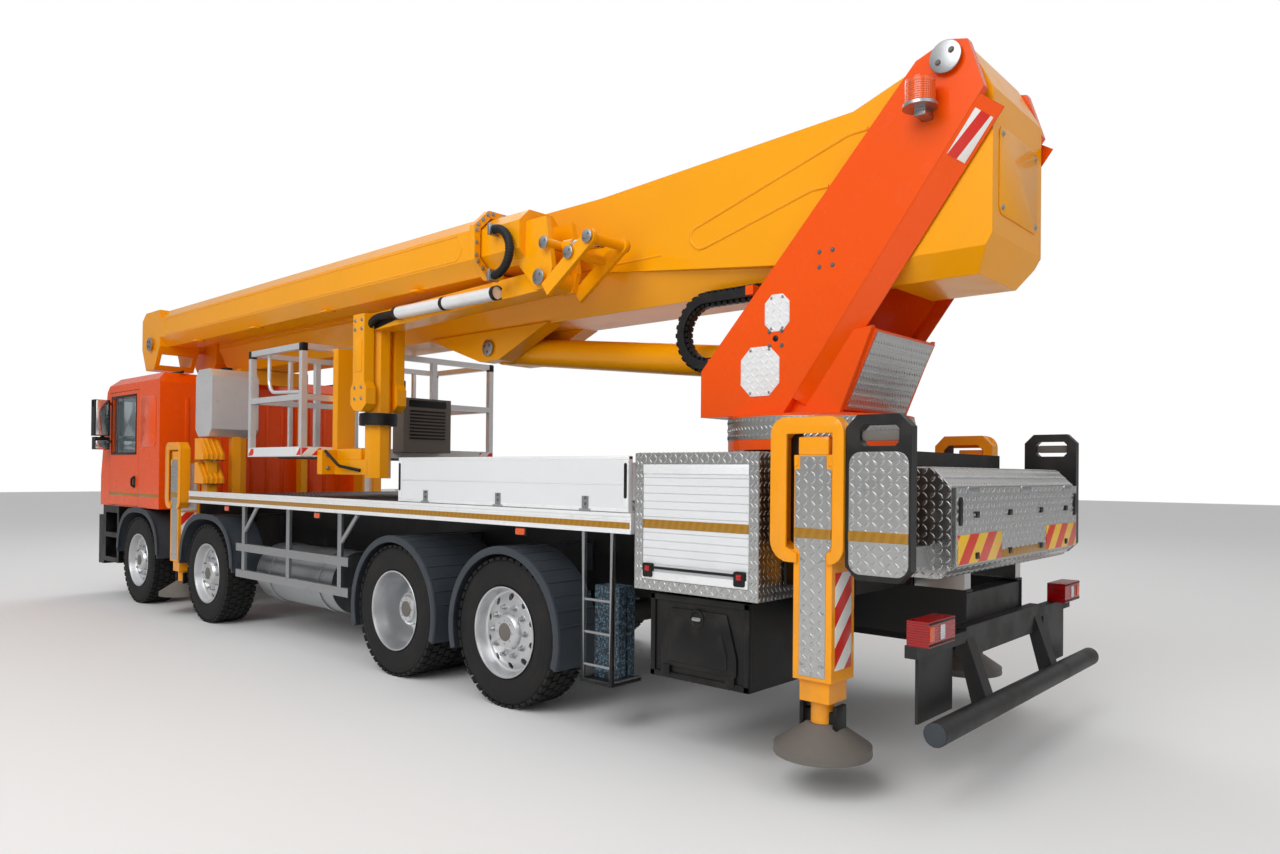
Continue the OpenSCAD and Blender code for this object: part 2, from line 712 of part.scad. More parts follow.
// Folding side panel on hinge straps
strap_w = 60;
panel_y = deck_y - 8;
panel_low_z = deck_top_z + 5;
module dropside(side) color(white) on_side(side) {
  block(dropside_rear_x, dropside_front_x, panel_y - dropside_t, panel_y, panel_low_z, dropside_top_z);
  for (k = [0.15, 0.5, 0.85]) {
    x = dropside_rear_x + k * (dropside_front_x - dropside_rear_x);
    block(x - strap_w / 2, x + strap_w / 2, panel_y - dropside_t + 2, panel_y + 4, deck_top_z + 0.5,
      panel_low_z + 90);
  }
}

// Shutter lockers, hollow, with a framed opening at the outer side
locker_in_y = 700;
locker_y = deck_y - 5;
locker_frame = 60;
right_locker_rear_x = locker_rear_x + 153;
module locker(rear_x) difference() {
  block(rear_x, locker_front_x, locker_in_y, locker_y, locker_low_z, locker_top_z);
  block(rear_x + sheet, locker_front_x - sheet, locker_in_y + sheet, locker_y - sheet,
    locker_low_z + sheet, locker_top_z - sheet);
  block(rear_x + locker_frame, locker_front_x - locker_frame, locker_y - 2 * sheet, locker_y + eps,
    locker_low_z + locker_frame, locker_top_z - locker_frame);
}

// Two wheel chocks stacked on their holder at the front of the deck
chock_rear_x = 2455;
chock_front_x = 2680;
chock_in_y = 1010;
chock_out_y = 1230;
chock_low_z = 1440;
chock_h = 230;
chock_pitch = 255;
module chocks() {
  block(chock_rear_x + 40, chock_front_x - 40, chock_in_y + 60, chock_out_y - 60, floor_z,
    chock_low_z + chock_pitch + 40);
  for (i = [0:1]) translate([0, 0, chock_low_z + i * chock_pitch]) across(chock_in_y, chock_out_y)
    polygon([[chock_front_x, 0], [chock_front_x, chock_h], [chock_front_x - 70, chock_h], [chock_rear_x, 60],
      [chock_rear_x, 0]]);
}
module lockers() color(alu) {
  locker(locker_rear_x);
  mirror([0, 1, 0]) locker(right_locker_rear_x);
  both_sides() block(locker_rear_x + 200, locker_front_x - 200, rail_y, locker_in_y + eps,
    locker_low_z, locker_low_z + 60);
  chocks();
}

// Roller shutters: a sheet with slat grooves, held in the opening
slat_h = 45;
shutter_t = 14;
module shutter(rear_x) difference() {
  y1 = locker_y - 3;
  z0 = locker_low_z + locker_frame + seat;
  z1 = locker_top_z - locker_frame - seat;
  block(rear_x + locker_frame + seat, locker_front_x - locker_frame - seat, y1 - shutter_t, y1, z0, z1);
  for (z = [z0 + slat_h:slat_h:z1 - slat_h / 2])
    block(rear_x, locker_front_x, y1 - 3, y1 + eps, z - 2, z + 2);
}
module shutters() color(white) {
  shutter(locker_rear_x);
  mirror([0, 1, 0]) shutter(right_locker_rear_x);
}

// Moulded toolboxes hung under the lockers, open at the outer side, and the rack with its ground pads
toolbox_rear_x = locker_front_x - 123 - toolbox_l;
toolbox_top_z = locker_low_z - 15;
toolbox_low_z = toolbox_top_z - toolbox_h;
toolbox_in_y = 780;
toolbox_y = 1235;
lid_t = 20;
lid_gap = 0.5;
rack_rear_x = -3600;
rack_front_x = -3330;
rack_low_z = 310;
rack_rod = 24;
rack_in_y = 1000;
rack_y = deck_y - 14;
pad_ys = [1030, 1110];
pad_t = 60;
pad_low_z = rack_low_z + 10;
pad_top_z = 900;
module toolboxes() color(black) both_sides() {
  difference() {
    block(toolbox_rear_x, toolbox_rear_x + toolbox_l, toolbox_in_y, toolbox_y, toolbox_low_z, toolbox_top_z);
    block(toolbox_rear_x + sheet, toolbox_rear_x + toolbox_l - sheet, toolbox_in_y + sheet,
      toolbox_y + eps, toolbox_low_z + sheet, toolbox_top_z - sheet);
  }
  for (x = [toolbox_rear_x + 90, toolbox_rear_x + toolbox_l - 90])
    block(x - 30, x + 30, toolbox_in_y + 40, toolbox_y - 40, toolbox_top_z - eps, locker_low_z);
  block(rack_rear_x, rack_front_x, rack_in_y, rack_y, rack_low_z, rack_low_z + 20);
  for (x = [rack_rear_x, rack_front_x - rack_rod])
    block(x, x + rack_rod, rack_y - rack_rod, rack_y, pad_low_z, deck_low_z);
  for (y = pad_ys) block(rack_rear_x + 30, rack_front_x - 30, y, y + pad_t, pad_low_z, pad_top_z);
}
module toolbox_lid(side) color(black) on_side(side)
  block(toolbox_rear_x, toolbox_rear_x + toolbox_l, toolbox_y + lid_gap, toolbox_y + lid_t,
    toolbox_low_z, toolbox_top_z);

// Rear locker, hollow and open at the rear, with a side plate at each corner
rear_x = -5555;
rear_locker_front_x = -5125;
rear_half = 950;
rear_low_z = 1100;
rear_top_z = 1640;
plate_t = 60;
top_cut = 95;
low_cut = 65;
plate_top_z = 1890;
plate_cut = 60;
corner_rear_x = rear_x + 55;
corner_front_x = rear_locker_front_x - 40;
slot_in = 60;
slot_h = 100;
slot_low_z = plate_top_z - 150;
module rear_body() color(alu) {
  difference() {
    across(-rear_half, rear_half) polygon([[rear_locker_front_x, rear_low_z], [rear_x + low_cut, rear_low_z],
      [rear_x, rear_low_z + low_cut], [rear_x, rear_top_z - top_cut], [rear_x + top_cut, rear_top_z],
      [rear_locker_front_x, rear_top_z]]);
    block(rear_x + top_cut, rear_locker_front_x - sheet, -rear_half + sheet, rear_half - sheet,
      rear_low_z + sheet, rear_top_z - sheet);
    block(rear_x - eps, rear_x + top_cut + eps, -rear_half + sheet, rear_half - sheet,
      rear_low_z + low_cut, rear_top_z - top_cut);
  }
  both_sides() {
    block(frame_rear_x + 10, rear_locker_front_x, rail_y - rail_w, rail_y, rail_top, rear_low_z + eps);
    difference() {
      across(deck_y - plate_t, deck_y)
        cut_rect(corner_rear_x, corner_front_x, rear_low_z, plate_top_z, plate_cut);
      across(deck_y - plate_t - eps, deck_y + eps) cut_rect(corner_rear_x + slot_in,
        corner_front_x - slot_in - 15, slot_low_z, slot_low_z + slot_h, 20);
    }
    block(corner_rear_x + slot_in, corner_front_x - slot_in, rear_half - eps, deck_y - plate_t + eps,
      rear_low_z + 60, rear_low_z + 160);
  }
}
flap_t = 20;
flap_gap = 0.5;
module rear_flap() color(alu) block(rear_x - flap_t, rear_x - flap_gap, -rear_half, rear_half,
  rear_low_z + low_cut, rear_top_z - top_cut);

// Boom rest on the subframe, with a flat head just under the boom
rest_x = 3500;
rest_l = 120;
rest_gap = 6;
module boom_rest() color(yellow) {
  both_sides() block(rest_x - rest_l / 2, rest_x + rest_l / 2, rail_y - rail_w, rail_y, subframe_top,
    boom_low_z - 150);
  block(rest_x - rest_l / 2, rest_x + rest_l / 2, -rail_y, rail_y, boom_low_z - 180, boom_low_z - rest_gap);
}

// Faceted fluid box on a post
fluid_rear_x = 2480;
fluid_front_x = 2900;
fluid_in_y = 640;
fluid_out_y = 1140;
fluid_low_z = 1950;
fluid_top_z = 2680;
fluid_cut = 80;
fluid_post_y = 800;
fluid_post_w = 90;
module fluid_box() color(alu) {
  across(fluid_in_y, fluid_out_y) cut_rect(fluid_rear_x, fluid_front_x, fluid_low_z, fluid_top_z, fluid_cut);
  block(fluid_rear_x + 60, fluid_rear_x + 160, fluid_post_y, fluid_post_y + fluid_post_w, floor_z,
    fluid_low_z + eps);
}

// Subframe: long beams on the rails, two outrigger boxes across it and the pedestal of the turntable
beam_pitch = beam_w + 2 * slide_gap + box_wall;
box_half = beam_w + 2 * slide_gap + 1.5 * box_wall;
box_half_y = 1040;
pedestal_r = 490;
box_top_z = beam_z + beam_h + box_wall;
cover_top_z = 1740;
cover_rear_x = outrig_rear_x - 208;
cover_gap = 105;
cover_half = deck_y - casing_w - cover_gap;
cover_front_x = slew_x - pedestal_r - 20;
ring_h = 220;
turn_gap = 0.5;
module outrigger_box(x) difference() {
  block(x - box_half, x + box_half, -box_half_y, box_half_y, beam_z - box_wall, beam_z + beam_h + box_wall);
  outrigger_ways(x);
}
module outrigger_ways(x) for (side = [-1, 1]) {
  xb = x - side * beam_pitch / 2;
  half = beam_w / 2 + slide_gap;
  block(xb - half, xb + half, -box_half_y - eps, box_half_y + eps, beam_z - slide_gap,
    beam_z + beam_h + slide_gap);
}
module subframe() color(black) {
  difference() {
    union() {
      both_sides() block(rear_locker_front_x + 10, rest_x + rest_l / 2, rail_y - rail_w, rail_y, rail_top,
        subframe_top);
      outrigger_box(outrig_front_x);
      outrigger_box(outrig_rear_x);
    }
    outrigger_ways(outrig_front_x);
    outrigger_ways(outrig_rear_x);
  }
  difference() {
    block(cover_rear_x, cover_front_x, -cover_half, cover_half, box_top_z - eps, cover_top_z);
    block(cover_rear_x + sheet, cover_front_x + eps, -cover_half + sheet, cover_half - sheet,
      box_top_z + sheet, cover_top_z - sheet);
  }
  difference() {
    union() {
      block(slew_x - pedestal_r - 5, slew_x + pedestal_r + 5, -rail_y - 60, rail_y + 60, subframe_top,
        subframe_top + 20);
      bar_along_z(slew_x, 0, subframe_top, turn_z - ring_h - turn_gap, pedestal_r);
    }
    bar_along_z(slew_x, 0, subframe_top - eps, turn_z - ring_h + eps, pedestal_r - 60);
  }
}

// Outrigger beam with its leg casing and the rounded frame around it
casing_in = 170;
loop_aft = 175;
loop_fore = 245;
loop_w = 66;
loop_t = 95;
loop_low_z = 1160;
loop_top_z = 1890;
beam_end_y = -950;
casing_y0 = deck_y - casing_w;
module outrigger_beam(box_x, side) color(yellow) {
  xb = box_x - side * beam_pitch / 2;
  on_side(side) difference() {
    union() {
      block(xb - beam_w / 2, xb + beam_w / 2, beam_end_y, casing_y0 + eps, beam_z, beam_z + beam_h);
      block(xb - casing_w / 2, xb + casing_w / 2, casing_y0, deck_y, casing_low_z, casing_top_z);
      across(deck_y - loop_t, deck_y) difference() {
        cut_rect(xb - loop_aft, xb + loop_fore, loop_low_z, loop_top_z, 70);
        cut_rect(xb - loop_aft + loop_w, xb + loop_fore - loop_w, loop_low_z + loop_w, loop_top_z - loop_w,
          40);
      }
    }
    half = casing_in / 2 + slide_gap;
    block(xb - half, xb + half, casing_y0 + casing_w / 2 - half, casing_y0 + casing_w / 2 + half,
      casing_low_z - eps, casing_top_z - 30);
  }
}

// Sliding leg with its neck and dished foot
leg_top_z = 1500;
leg_low_z = 470;
neck_r = 60;
module outrigger_leg(box_x, side) color(yellow) {
  xb = box_x - side * beam_pitch / 2;
  on_side(side) {
    yc = casing_y0 + casing_w / 2;
    half = casing_in / 2;
    block(xb - half, xb + half, yc - half, yc + half, leg_low_z, leg_top_z);
    bar_along_z(xb, yc, foot_low_z + 40, leg_low_z + eps, neck_r);
    bar_along_z(xb, yc, foot_low_z, foot_low_z + 45, foot_r);
    translate([xb, yc, foot_low_z + 45]) cylinder(r1 = foot_r, r2 = neck_r + 20, h = 110);
  }
}

// Tower: turntable ring, base, two leaning side plates with a folded rear edge, a rear web and the pivot pin
tower_foot_x = slew_x - 30;
tower_front_x = slew_x + 610;
tower_front_z = turn_z + 305;
tower_head_r = 105;
tower_brow = [pivot_x + 180, pivot_z + 40];
tower_nape = [pivot_x - 110, pivot_z + 75];
tower_back = [pivot_x - 200, pivot_z - 200];
tower_outline = [[tower_foot_x, turn_z], [tower_front_x, turn_z], [tower_front_x, tower_front_z], tower_brow,
  [pivot_x, pivot_z + tower_head_r], tower_nape, tower_back];
tower_lean = atan2(tower_foot_x - tower_back[0], tower_back[1] - turn_z);
tower_edge_l = norm([tower_foot_x - tower_back[0], tower_back[1] - turn_z]);
fold_in = 90;
fold_back = 120;
fold_t = 22;
fold_lip = 4;
fold_low = 120;
fold_top = 40;
base_rear_x = slew_x - 370;
base_half = 430;
base_h = 60;
web_foot = [base_rear_x - 10, turn_z + base_h / 2];
web_back = 220;
web_h = 490;
web_head = [base_rear_x - web_back, turn_z + web_h];
web_half = 25;
web_in = 30;
gusset_t = 32;
module tower() color(orange) {
  difference() {
    bar_along_z(slew_x, 0, turn_z - ring_h, turn_z + eps, turn_r);
    bar_along_z(slew_x, 0, turn_z - ring_h - eps, turn_z - 30, pedestal_r - 60);
  }
  block(base_rear_x, tower_front_x, -base_half - eps, base_half + eps, turn_z, turn_z + base_h);
  both_sides() {
    across(tower_y - tower_t, tower_y) polygon(tower_outline);
    folded_edge();
    across(tower_y - tower_t - gusset_t, tower_y - tower_t + eps) polygon([[tower_foot_x + 40, turn_z],
      [base_rear_x - 20, turn_z], web_head + [-10, 10], web_head + [290, -30]]);
  }
  strut(web_foot, web_head, web_half, -tower_y + tower_t + web_in, tower_y - tower_t - web_in);
  bar_along_y(pivot_x, -tower_y - 25, tower_y + 25, pivot_z, pivot_r);
  beacon();
  hose_chain();
}

// Rear edge of a side plate, folded inwards
module folded_edge() translate([tower_foot_x, 0, turn_z]) rotate([0, -tower_lean, 0])
  translate([0, 0, fold_low]) linear_extrude(tower_edge_l - fold_low - fold_top)
    polygon([[fold_t, tower_y - eps], [eps, tower_y - eps], [-fold_back, tower_y - fold_in],
      [-fold_back, tower_y - fold_in - fold_lip], [fold_t, tower_y - fold_t]]);

// Beacon: a lamp on a small plate and bracket at the left side of the tower's head
beacon_x = -5215;
beacon_y = tower_y + 105;
beacon_low_z = 3580;
beacon_r = 78;
module beacon() {
  bar_along_z(beacon_x, beacon_y, beacon_low_z, beacon_low_z + 12, beacon_r + 12);
  bar_along_z(beacon_x, beacon_y, beacon_low_z, beacon_low_z + 150, beacon_r);
  block(beacon_x - 30, beacon_x + 30, tower_y - eps, beacon_y, beacon_low_z - 40, beacon_low_z + 6);
}

// Chain that guides the hoses: two runs out of the tower joined by a half turn
chain_y0 = 290;
chain_w = 90;
chain_t = 60;
chain_mid_z = 2560;
chain_bend_r = 225;
chain_turn_x = tower_front_x + 50;
chain_top_l = 420;
chain_low_l = 120;
chain_foot = 60;
module hose_chain() {
  translate([chain_turn_x, chain_y0 + chain_w, chain_mid_z]) rotate([90, 0, 0]) rotate([0, 0, -90])
    rotate_extrude(angle = 180) translate([chain_bend_r - chain_t / 2, 0]) square([chain_t, chain_w]);
  for (s = [-1, 1]) {
    z0 = chain_mid_z + s * chain_bend_r - chain_t / 2;
    run_x = chain_turn_x - (s > 0 ? chain_top_l : chain_low_l);
    block(run_x, chain_turn_x + eps, chain_y0, chain_y0 + chain_w, z0, z0 + chain_t);
    block(run_x, run_x + chain_foot, chain_y0, tower_y - tower_t + eps, z0, z0 + chain_t);
  }
}

// Boom cross section, drawn at a distance in from the base section's outer face
fold_z = boom_low_z + 285;
belly_half = 250;
module boom_section(in) polygon([[-boom_y + in, boom_top_z - in], [-boom_y + in, fold_z],
  [-belly_half + in * 0.5, boom_low_z + in], [belly_half - in * 0.5, boom_low_z + in],
  [boom_y - in, fold_z], [boom_y - in, boom_top_z - in]]);

// Base section: pivot head at the rear, long tube, and the cheeks of the lift cylinder's pin
boom_rear_x = pivot_x - 210;
tube_rear_x = pivot_x + 620;
haunch_x = pivot_x + 2720;
tail_low = boom_low_z - 105;
tail_front_x = pivot_x + 420;
tail_cut = 100;
pivot_fit = 0.4;
cheek_in = 130;
cheek_out = 290;
cheek_rear_x = lift_pin_x - 750;
cheek_front_x = lift_pin_x + 900;
cheek_half = 130;
lift_pin_r = 50;
lift_fit = 0.4;
boom_2_rear_x = tube_rear_x + 50;
module boom_base() color(yellow) difference() {
  union() {
    along(tube_rear_x, boom_front_x) boom_section(0);
    across(-boom_y, boom_y) polygon([[boom_rear_x, tail_low + 190], [boom_rear_x + 110, tail_low],
      [tail_front_x, tail_low], [tail_front_x + 300, boom_low_z + 60], [haunch_x, fold_z],
      [haunch_x, boom_top_z], [tube_rear_x, boom_top_z + 100], [pivot_x + 130, pivot_z + 80],
      [pivot_x + 60, pivot_z + 100], [pivot_x - 70, pivot_z + 95], [boom_rear_x, boom_top_z + 20]]);
    both_sides() across(cheek_in, cheek_out) polygon([[cheek_rear_x, boom_low_z + 5],
      [lift_pin_x - cheek_half, lift_pin_z - 110], [lift_pin_x + cheek_half, lift_pin_z - 110],
      [cheek_front_x, boom_low_z + 5]]);
    bar_along_y(lift_pin_x, -cheek_out - 15, cheek_out + 15, lift_pin_z, lift_pin_r);
  }
  both_sides() along(boom_rear_x - eps, tube_rear_x + 200) polygon([[boom_y + eps, tail_low],
    [boom_y - tail_cut, tail_low - eps], [boom_y - tail_cut, tail_low],
    [boom_y + eps, tail_low + tail_cut * 1.3]]);
  along(boom_2_rear_x - 60, boom_front_x + eps) boom_section(boom_wall);
  block(boom_rear_x + 50, boom_2_rear_x - 50, -boom_y + boom_wall + 10, boom_y - boom_wall - 10,
    boom_low_z + 45, boom_top_z - 30);
  bar_along_y(pivot_x, -boom_y - eps, boom_y + eps, pivot_z, pivot_r + pivot_fit);
}

// Inner boom sections; a wear pad collar at the rear of each fills its running gap
step_in = boom_wall + boom_gap;
collar_l = 150;
boom_2_front_x = boom_front_x + 100;
boom_3_rear_x = boom_2_rear_x + 200;
head_rear_x = boom_2_front_x + 80;
head_front_x = jib_pin_x + 250;
jib_pin_r = 60;
module boom_2() color(yellow) difference() {
  union() {
    along(boom_2_rear_x, boom_2_front_x) boom_section(step_in);
    along(boom_2_rear_x, boom_2_rear_x + collar_l) boom_section(boom_wall + pad_slack);
  }
  along(boom_2_rear_x - eps, boom_2_front_x + eps) boom_section(step_in + boom_wall);
}
module boom_3() color(yellow) {
  difference() {
    union() {
      along(boom_3_rear_x, head_rear_x + eps) boom_section(2 * step_in);
      along(boom_3_rear_x, boom_3_rear_x + collar_l) boom_section(step_in + boom_wall + pad_slack);
    }
    along(boom_3_rear_x - eps, head_rear_x - 200) boom_section(2 * step_in + boom_wall);
  }
  difference() {
    across(-boom_y + 40, boom_y - 40)
      cut_rect(head_rear_x, head_front_x, boom_low_z + 40, boom_top_z - 120, 90);
    block(head_rear_x + 60, head_front_x + eps, -boom_y + 95, boom_y - 95, boom_low_z + 120,
      boom_top_z - 200);
  }
  bar_along_y(jib_pin_x, boom_y - 60, jib_y + jib_half + 25, jib_pin_z, jib_pin_r);
}

// Lift cylinder, drawn from the boom's pin towards the tower
lift_l = norm([anchor_x - lift_pin_x, anchor_z - lift_pin_z]);
lift_turn = atan2(lift_pin_z - anchor_z, anchor_x - lift_pin_x);
barrel_end = lift_l - 350;
rod_start = 320;
rod_fit = 0.5;
module lift_frame() translate([lift_pin_x, 0, lift_pin_z]) rotate([0, lift_turn, 0]) children();
module lift_barrel() color(yellow) lift_frame() difference() {
  union() {
    bar_along_x(0, barrel_end, 0, 0, barrel_r);
    bar_along_x(barrel_end - 90, barrel_end, 0, 0, barrel_r + 14);
    bar_along_y(0, -cheek_in + lift_fit, cheek_in - lift_fit, 0, barrel_r + 10);
  }
  bar_along_y(0, -cheek_in, cheek_in, 0, lift_pin_r + lift_fit);
  bar_along_x(rod_start - 20, barrel_end + eps, 0, 0, piston_rod_r + rod_fit);
}
module lift_rod() color(steel) lift_frame() difference() {
  union() {
    bar_along_x(rod_start, lift_l - 60, 0, 0, piston_rod_r);
    bar_along_y(lift_l, -90, 90, 0, 110);
  }
  bar_along_y(lift_l, -91, 91, 0, lift_pin_r);
}

// Jib cross section, drawn at a distance in from the base section's outer face
jib_cut = 110;
module jib_section(in) cut_rect(jib_y - jib_half + in, jib_y + jib_half - in, jib_low_z + in, jib_top_z - in,
  jib_cut - in * 0.58);

jib_wall = 16;
jib_gap = 12;
jib_front_x = jib_pin_x - 250;
jib_nose_x = head_front_x + 80;
jib_head_low_z = boom_low_z + 15;
jib_pin_fit = 0.4;
module jib_base() color(yellow) difference() {
  union() {
    along(jib_rear_x, jib_front_x + eps) jib_section(0);
    along(jib_rear_x, jib_rear_x + 60) jib_section(-40);
    across(jib_y - jib_half, jib_y + jib_half) polygon([[jib_front_x, jib_low_z],
      [jib_front_x + 180, jib_head_low_z], [head_front_x - 60, jib_head_low_z],
      [jib_nose_x, jib_low_z], [jib_nose_x, jib_top_z - 90], [head_front_x - 40, jib_top_z],
      [jib_front_x, jib_top_z]]);
  }
  along(jib_rear_x - eps, jib_front_x - 100) jib_section(jib_wall);
  block(jib_front_x + 60, jib_nose_x + eps, jib_y - jib_half + 50, jib_y + jib_half - 50,
    jib_head_low_z + 60, jib_top_z - 110);
  bar_along_y(jib_pin_x, jib_y - jib_half - eps, jib_y + jib_half + eps, jib_pin_z, jib_pin_r + jib_pin_fit);
}

jib_2_rear_x = jib_rear_x - 440;
jib_2_front_x = jib_front_x - 160;
arm_half_y = 100;
cheek_t = 45;
arm_pin_r = 40;
arm_fit = 0.4;
module jib_2() color(yellow) {
  difference() {
    union() {
      along(jib_2_rear_x, jib_2_front_x) jib_section(jib_wall + jib_gap);
      along(jib_2_front_x - collar_l, jib_2_front_x) jib_section(jib_wall + pad_slack);
    }
    along(jib_2_rear_x - eps, jib_2_front_x + eps) jib_section(2 * jib_wall + jib_gap);
  }
  for (y = [jib_y - arm_half_y - arm_fit - cheek_t, jib_y + arm_half_y + arm_fit]) across(y, y + cheek_t)
    polygon([[arm_pin_x - 110, arm_pin_z + 60], [arm_pin_x - 60, arm_pin_z - 80],
      [arm_pin_x + 60, arm_pin_z - 80], [jib_2_rear_x + 120, jib_low_z + 60],
      [jib_2_rear_x + 120, jib_top_z - 120], [arm_pin_x - 40, jib_top_z - 120]]);
  along(jib_2_rear_x, jib_2_rear_x + 60) jib_section(jib_wall + jib_gap);
  levelling_link();
  hose_loop();
  bar_along_y(arm_pin_x, jib_y - arm_half_y - cheek_t - 20, jib_y + arm_half_y + cheek_t + 20, arm_pin_z,
    arm_pin_r);
}

// Levelling link: a lever of two plates behind the arm's pin, its pins, and the rod that works it
lever_in = arm_half_y + arm_fit + cheek_t;
lever_t = 30;
lever_half = 55;
arm_pin = [arm_pin_x, arm_pin_z];
lever_low = arm_pin + [-60, -100];
lever_top = arm_pin + [-505, 205];
lever_mid = arm_pin + [-320, 125];
link_pin = arm_pin + [-65, 235];
link_r = 28;
module levelling_link() {
  for (y = [jib_y - lever_in - lever_t, jib_y + lever_in - eps]) {
    strut(lever_low, lever_top, lever_half, y, y + lever_t + eps);
    bar_along_y(lever_top[0], y, y + lever_t + eps, lever_top[1], lever_half);
  }
  for (q = [lever_top, lever_mid, link_pin]) bar_along_y(q[0], jib_y - lever_in - lever_t - 12,
    jib_y + lever_in + lever_t + 12, q[1], link_r + 8);
  strut(link_pin, lever_top, link_r, jib_y - link_r, jib_y + link_r);
}

// Hose loop at the jib's end, clamped at both ends to the inner jib
loop_hose_r = 30;
loop_bend_r = 170;
loop_hose_x = jib_rear_x - 220;
loop_hose_z = jib_low_z + 115;
clamp_half = 26;
loop_hose_y = jib_y + jib_half + 20;
module hose_loop() {
  translate([loop_hose_x, loop_hose_y, loop_hose_z]) rotate([90, 0, 0]) rotate([0, 0, 90])
    rotate_extrude(angle = 180) translate([loop_bend_r, 0]) circle(loop_hose_r);
  for (z = [loop_hose_z - loop_bend_r, loop_hose_z + loop_bend_r]) block(loop_hose_x - 20, loop_hose_x + 40,
    jib_y + jib_half - jib_wall - jib_gap - 20, loop_hose_y + 10, z - clamp_half, z + clamp_half);
}

// Basket arm with its duct, the octagonal post and the rotator ring
post_r = 115;
post_top_z = 3010;
ring_low_z = 2010;
ring_top_z = 2110;
arm_half_h = 75;
arm_front = [post_x - 40, arm_pin_z - 70];
module basket_arm() color(yellow) {
  difference() {
    union() {
      strut(arm_pin, arm_front, arm_half_h, jib_y - arm_half_y, jib_y + arm_half_y);
      bar_along_y(arm_pin_x, jib_y - arm_half_y, jib_y + arm_half_y, arm_pin_z, arm_half_h);
    }
    bar_along_y(arm_pin_x, jib_y - arm_half_y - eps, jib_y + arm_half_y + eps, arm_pin_z,
      arm_pin_r + arm_fit);
  }
  translate([post_x, jib_y, ring_top_z - eps]) rotate([0, 0, 22.5])
    cylinder(r = post_r, h = post_top_z - ring_top_z, $fn = 8);
  bar_along_z(post_x, jib_y, ring_low_z, ring_top_z, post_r + 45);
  yoke();
  cable_duct();
}

// Yoke: a box on each side of the post, widened at its foot
yoke_half = 95;
yoke_foot_half = 130;
yoke_in = 108;
yoke_out = 205;
yoke_low_z = 2130;
yoke_top_z = 2995;
yoke_toe = 60;
yoke_foot_h = 200;
yoke_waist_h = 260;
module yoke() for (s = [-1, 1]) {
  y0 = jib_y + (s > 0 ? yoke_in : -yoke_out);
  half_outline = [[yoke_toe, 0], [yoke_foot_half, yoke_toe], [yoke_foot_half, yoke_foot_h],
    [yoke_half, yoke_waist_h], [yoke_half, yoke_top_z - yoke_low_z]];
  translate([post_x, 0, yoke_low_z]) across(y0, y0 + yoke_out - yoke_in)
    polygon(concat(half_outline, [for (i = [4:-1:0]) [-half_outline[i][0], half_outline[i][1]]]));
  block(post_x - 60, post_x + 60, min(y0, jib_y), max(y0 + 20, jib_y), yoke_top_z - 120, yoke_top_z - 20);
}

// Cable duct along the arm's left side and the hose that bends from it down into the yoke
duct_r = 52;
duct_y = jib_y + arm_half_y + duct_r - 12;
duct_rear_x = arm_pin_x + 520;
duct_front_x = post_x - 500;
duct_z = arm_pin_z - 45;
elbow_r = 230;
duct_hose_r = 30;
module cable_duct() {
  bar_along_x(duct_rear_x, duct_front_x, duct_y, duct_z, duct_r);
  bar_along_x(duct_front_x - eps, post_x - elbow_r, duct_y, duct_z, duct_hose_r);
  translate([post_x - elbow_r - eps, duct_y, duct_z - elbow_r]) rotate([90, 0, 0])
    rotate_extrude(angle = 90) translate([elbow_r, 0]) circle(duct_hose_r);
}

// Carrier: lower post, arm under the ring and the column that holds the cage
carrier_low_z = 1530;
carrier_front_x = cage_rear_x - seat;
column_d = 90;
column_foot_half = 240;
module cage_carrier() color(yellow) {
  translate([post_x, jib_y, carrier_low_z]) rotate([0, 0, 22.5])
    cylinder(r = post_r, h = ring_low_z - turn_gap - carrier_low_z, $fn = 8);
  block(post_x, carrier_front_x, jib_y - 110, jib_y + 110, carrier_low_z + 30, carrier_low_z + 170);
  block(carrier_front_x - column_d, carrier_front_x, jib_y - column_foot_half, jib_y + column_foot_half,
    carrier_low_z + 30, carrier_low_z + 260);
  block(carrier_front_x - column_d, carrier_front_x, jib_y - column_d, jib_y + column_d, carrier_low_z + 250,
    cage_top_z - 30);
}

// Cage: a floor pan and square tube uprights with mid and top rails
pan_h = 90;
cabinet_d = 190;
cabinet_right_y = -400;
cabinet_left_y = 160;
cabinet_top_z = 2330;
upright_ys = [cage_right_y, (cage_right_y * 2 + cage_left_y) / 3, (cage_right_y + cage_left_y * 2) / 3,
  cage_left_y - cage_tube];
module cage_ring(z) difference() {
  block(cage_rear_x, cage_front_x, cage_right_y, cage_left_y, z, z + cage_tube);
  block(cage_rear_x + cage_tube, cage_front_x - cage_tube, cage_right_y + cage_tube, cage_left_y - cage_tube,
    z - eps, z + cage_tube + eps);
}
module cage() color(alu) {
  block(cage_rear_x, cage_front_x, cage_right_y, cage_left_y, cage_low_z, cage_low_z + pan_h);
  for (y = upright_ys, x = [cage_rear_x, cage_front_x - cage_tube])
    block(x, x + cage_tube, y, y + cage_tube, cage_low_z + pan_h - eps, cage_top_z);
  difference() {
    block(cage_rear_x - cabinet_d, cage_rear_x + eps, cabinet_right_y, cabinet_left_y, cage_low_z + 60,
      cabinet_top_z);
    block(cage_rear_x - cabinet_d + sheet, cage_rear_x + 2 * eps, cabinet_right_y + sheet,
      cabinet_left_y - sheet, cage_low_z + pan_h + sheet, cabinet_top_z - sheet);
  }
  cage_ring(cage_top_z - cage_tube);
  cage_ring((cage_low_z + cage_top_z) / 2);
}

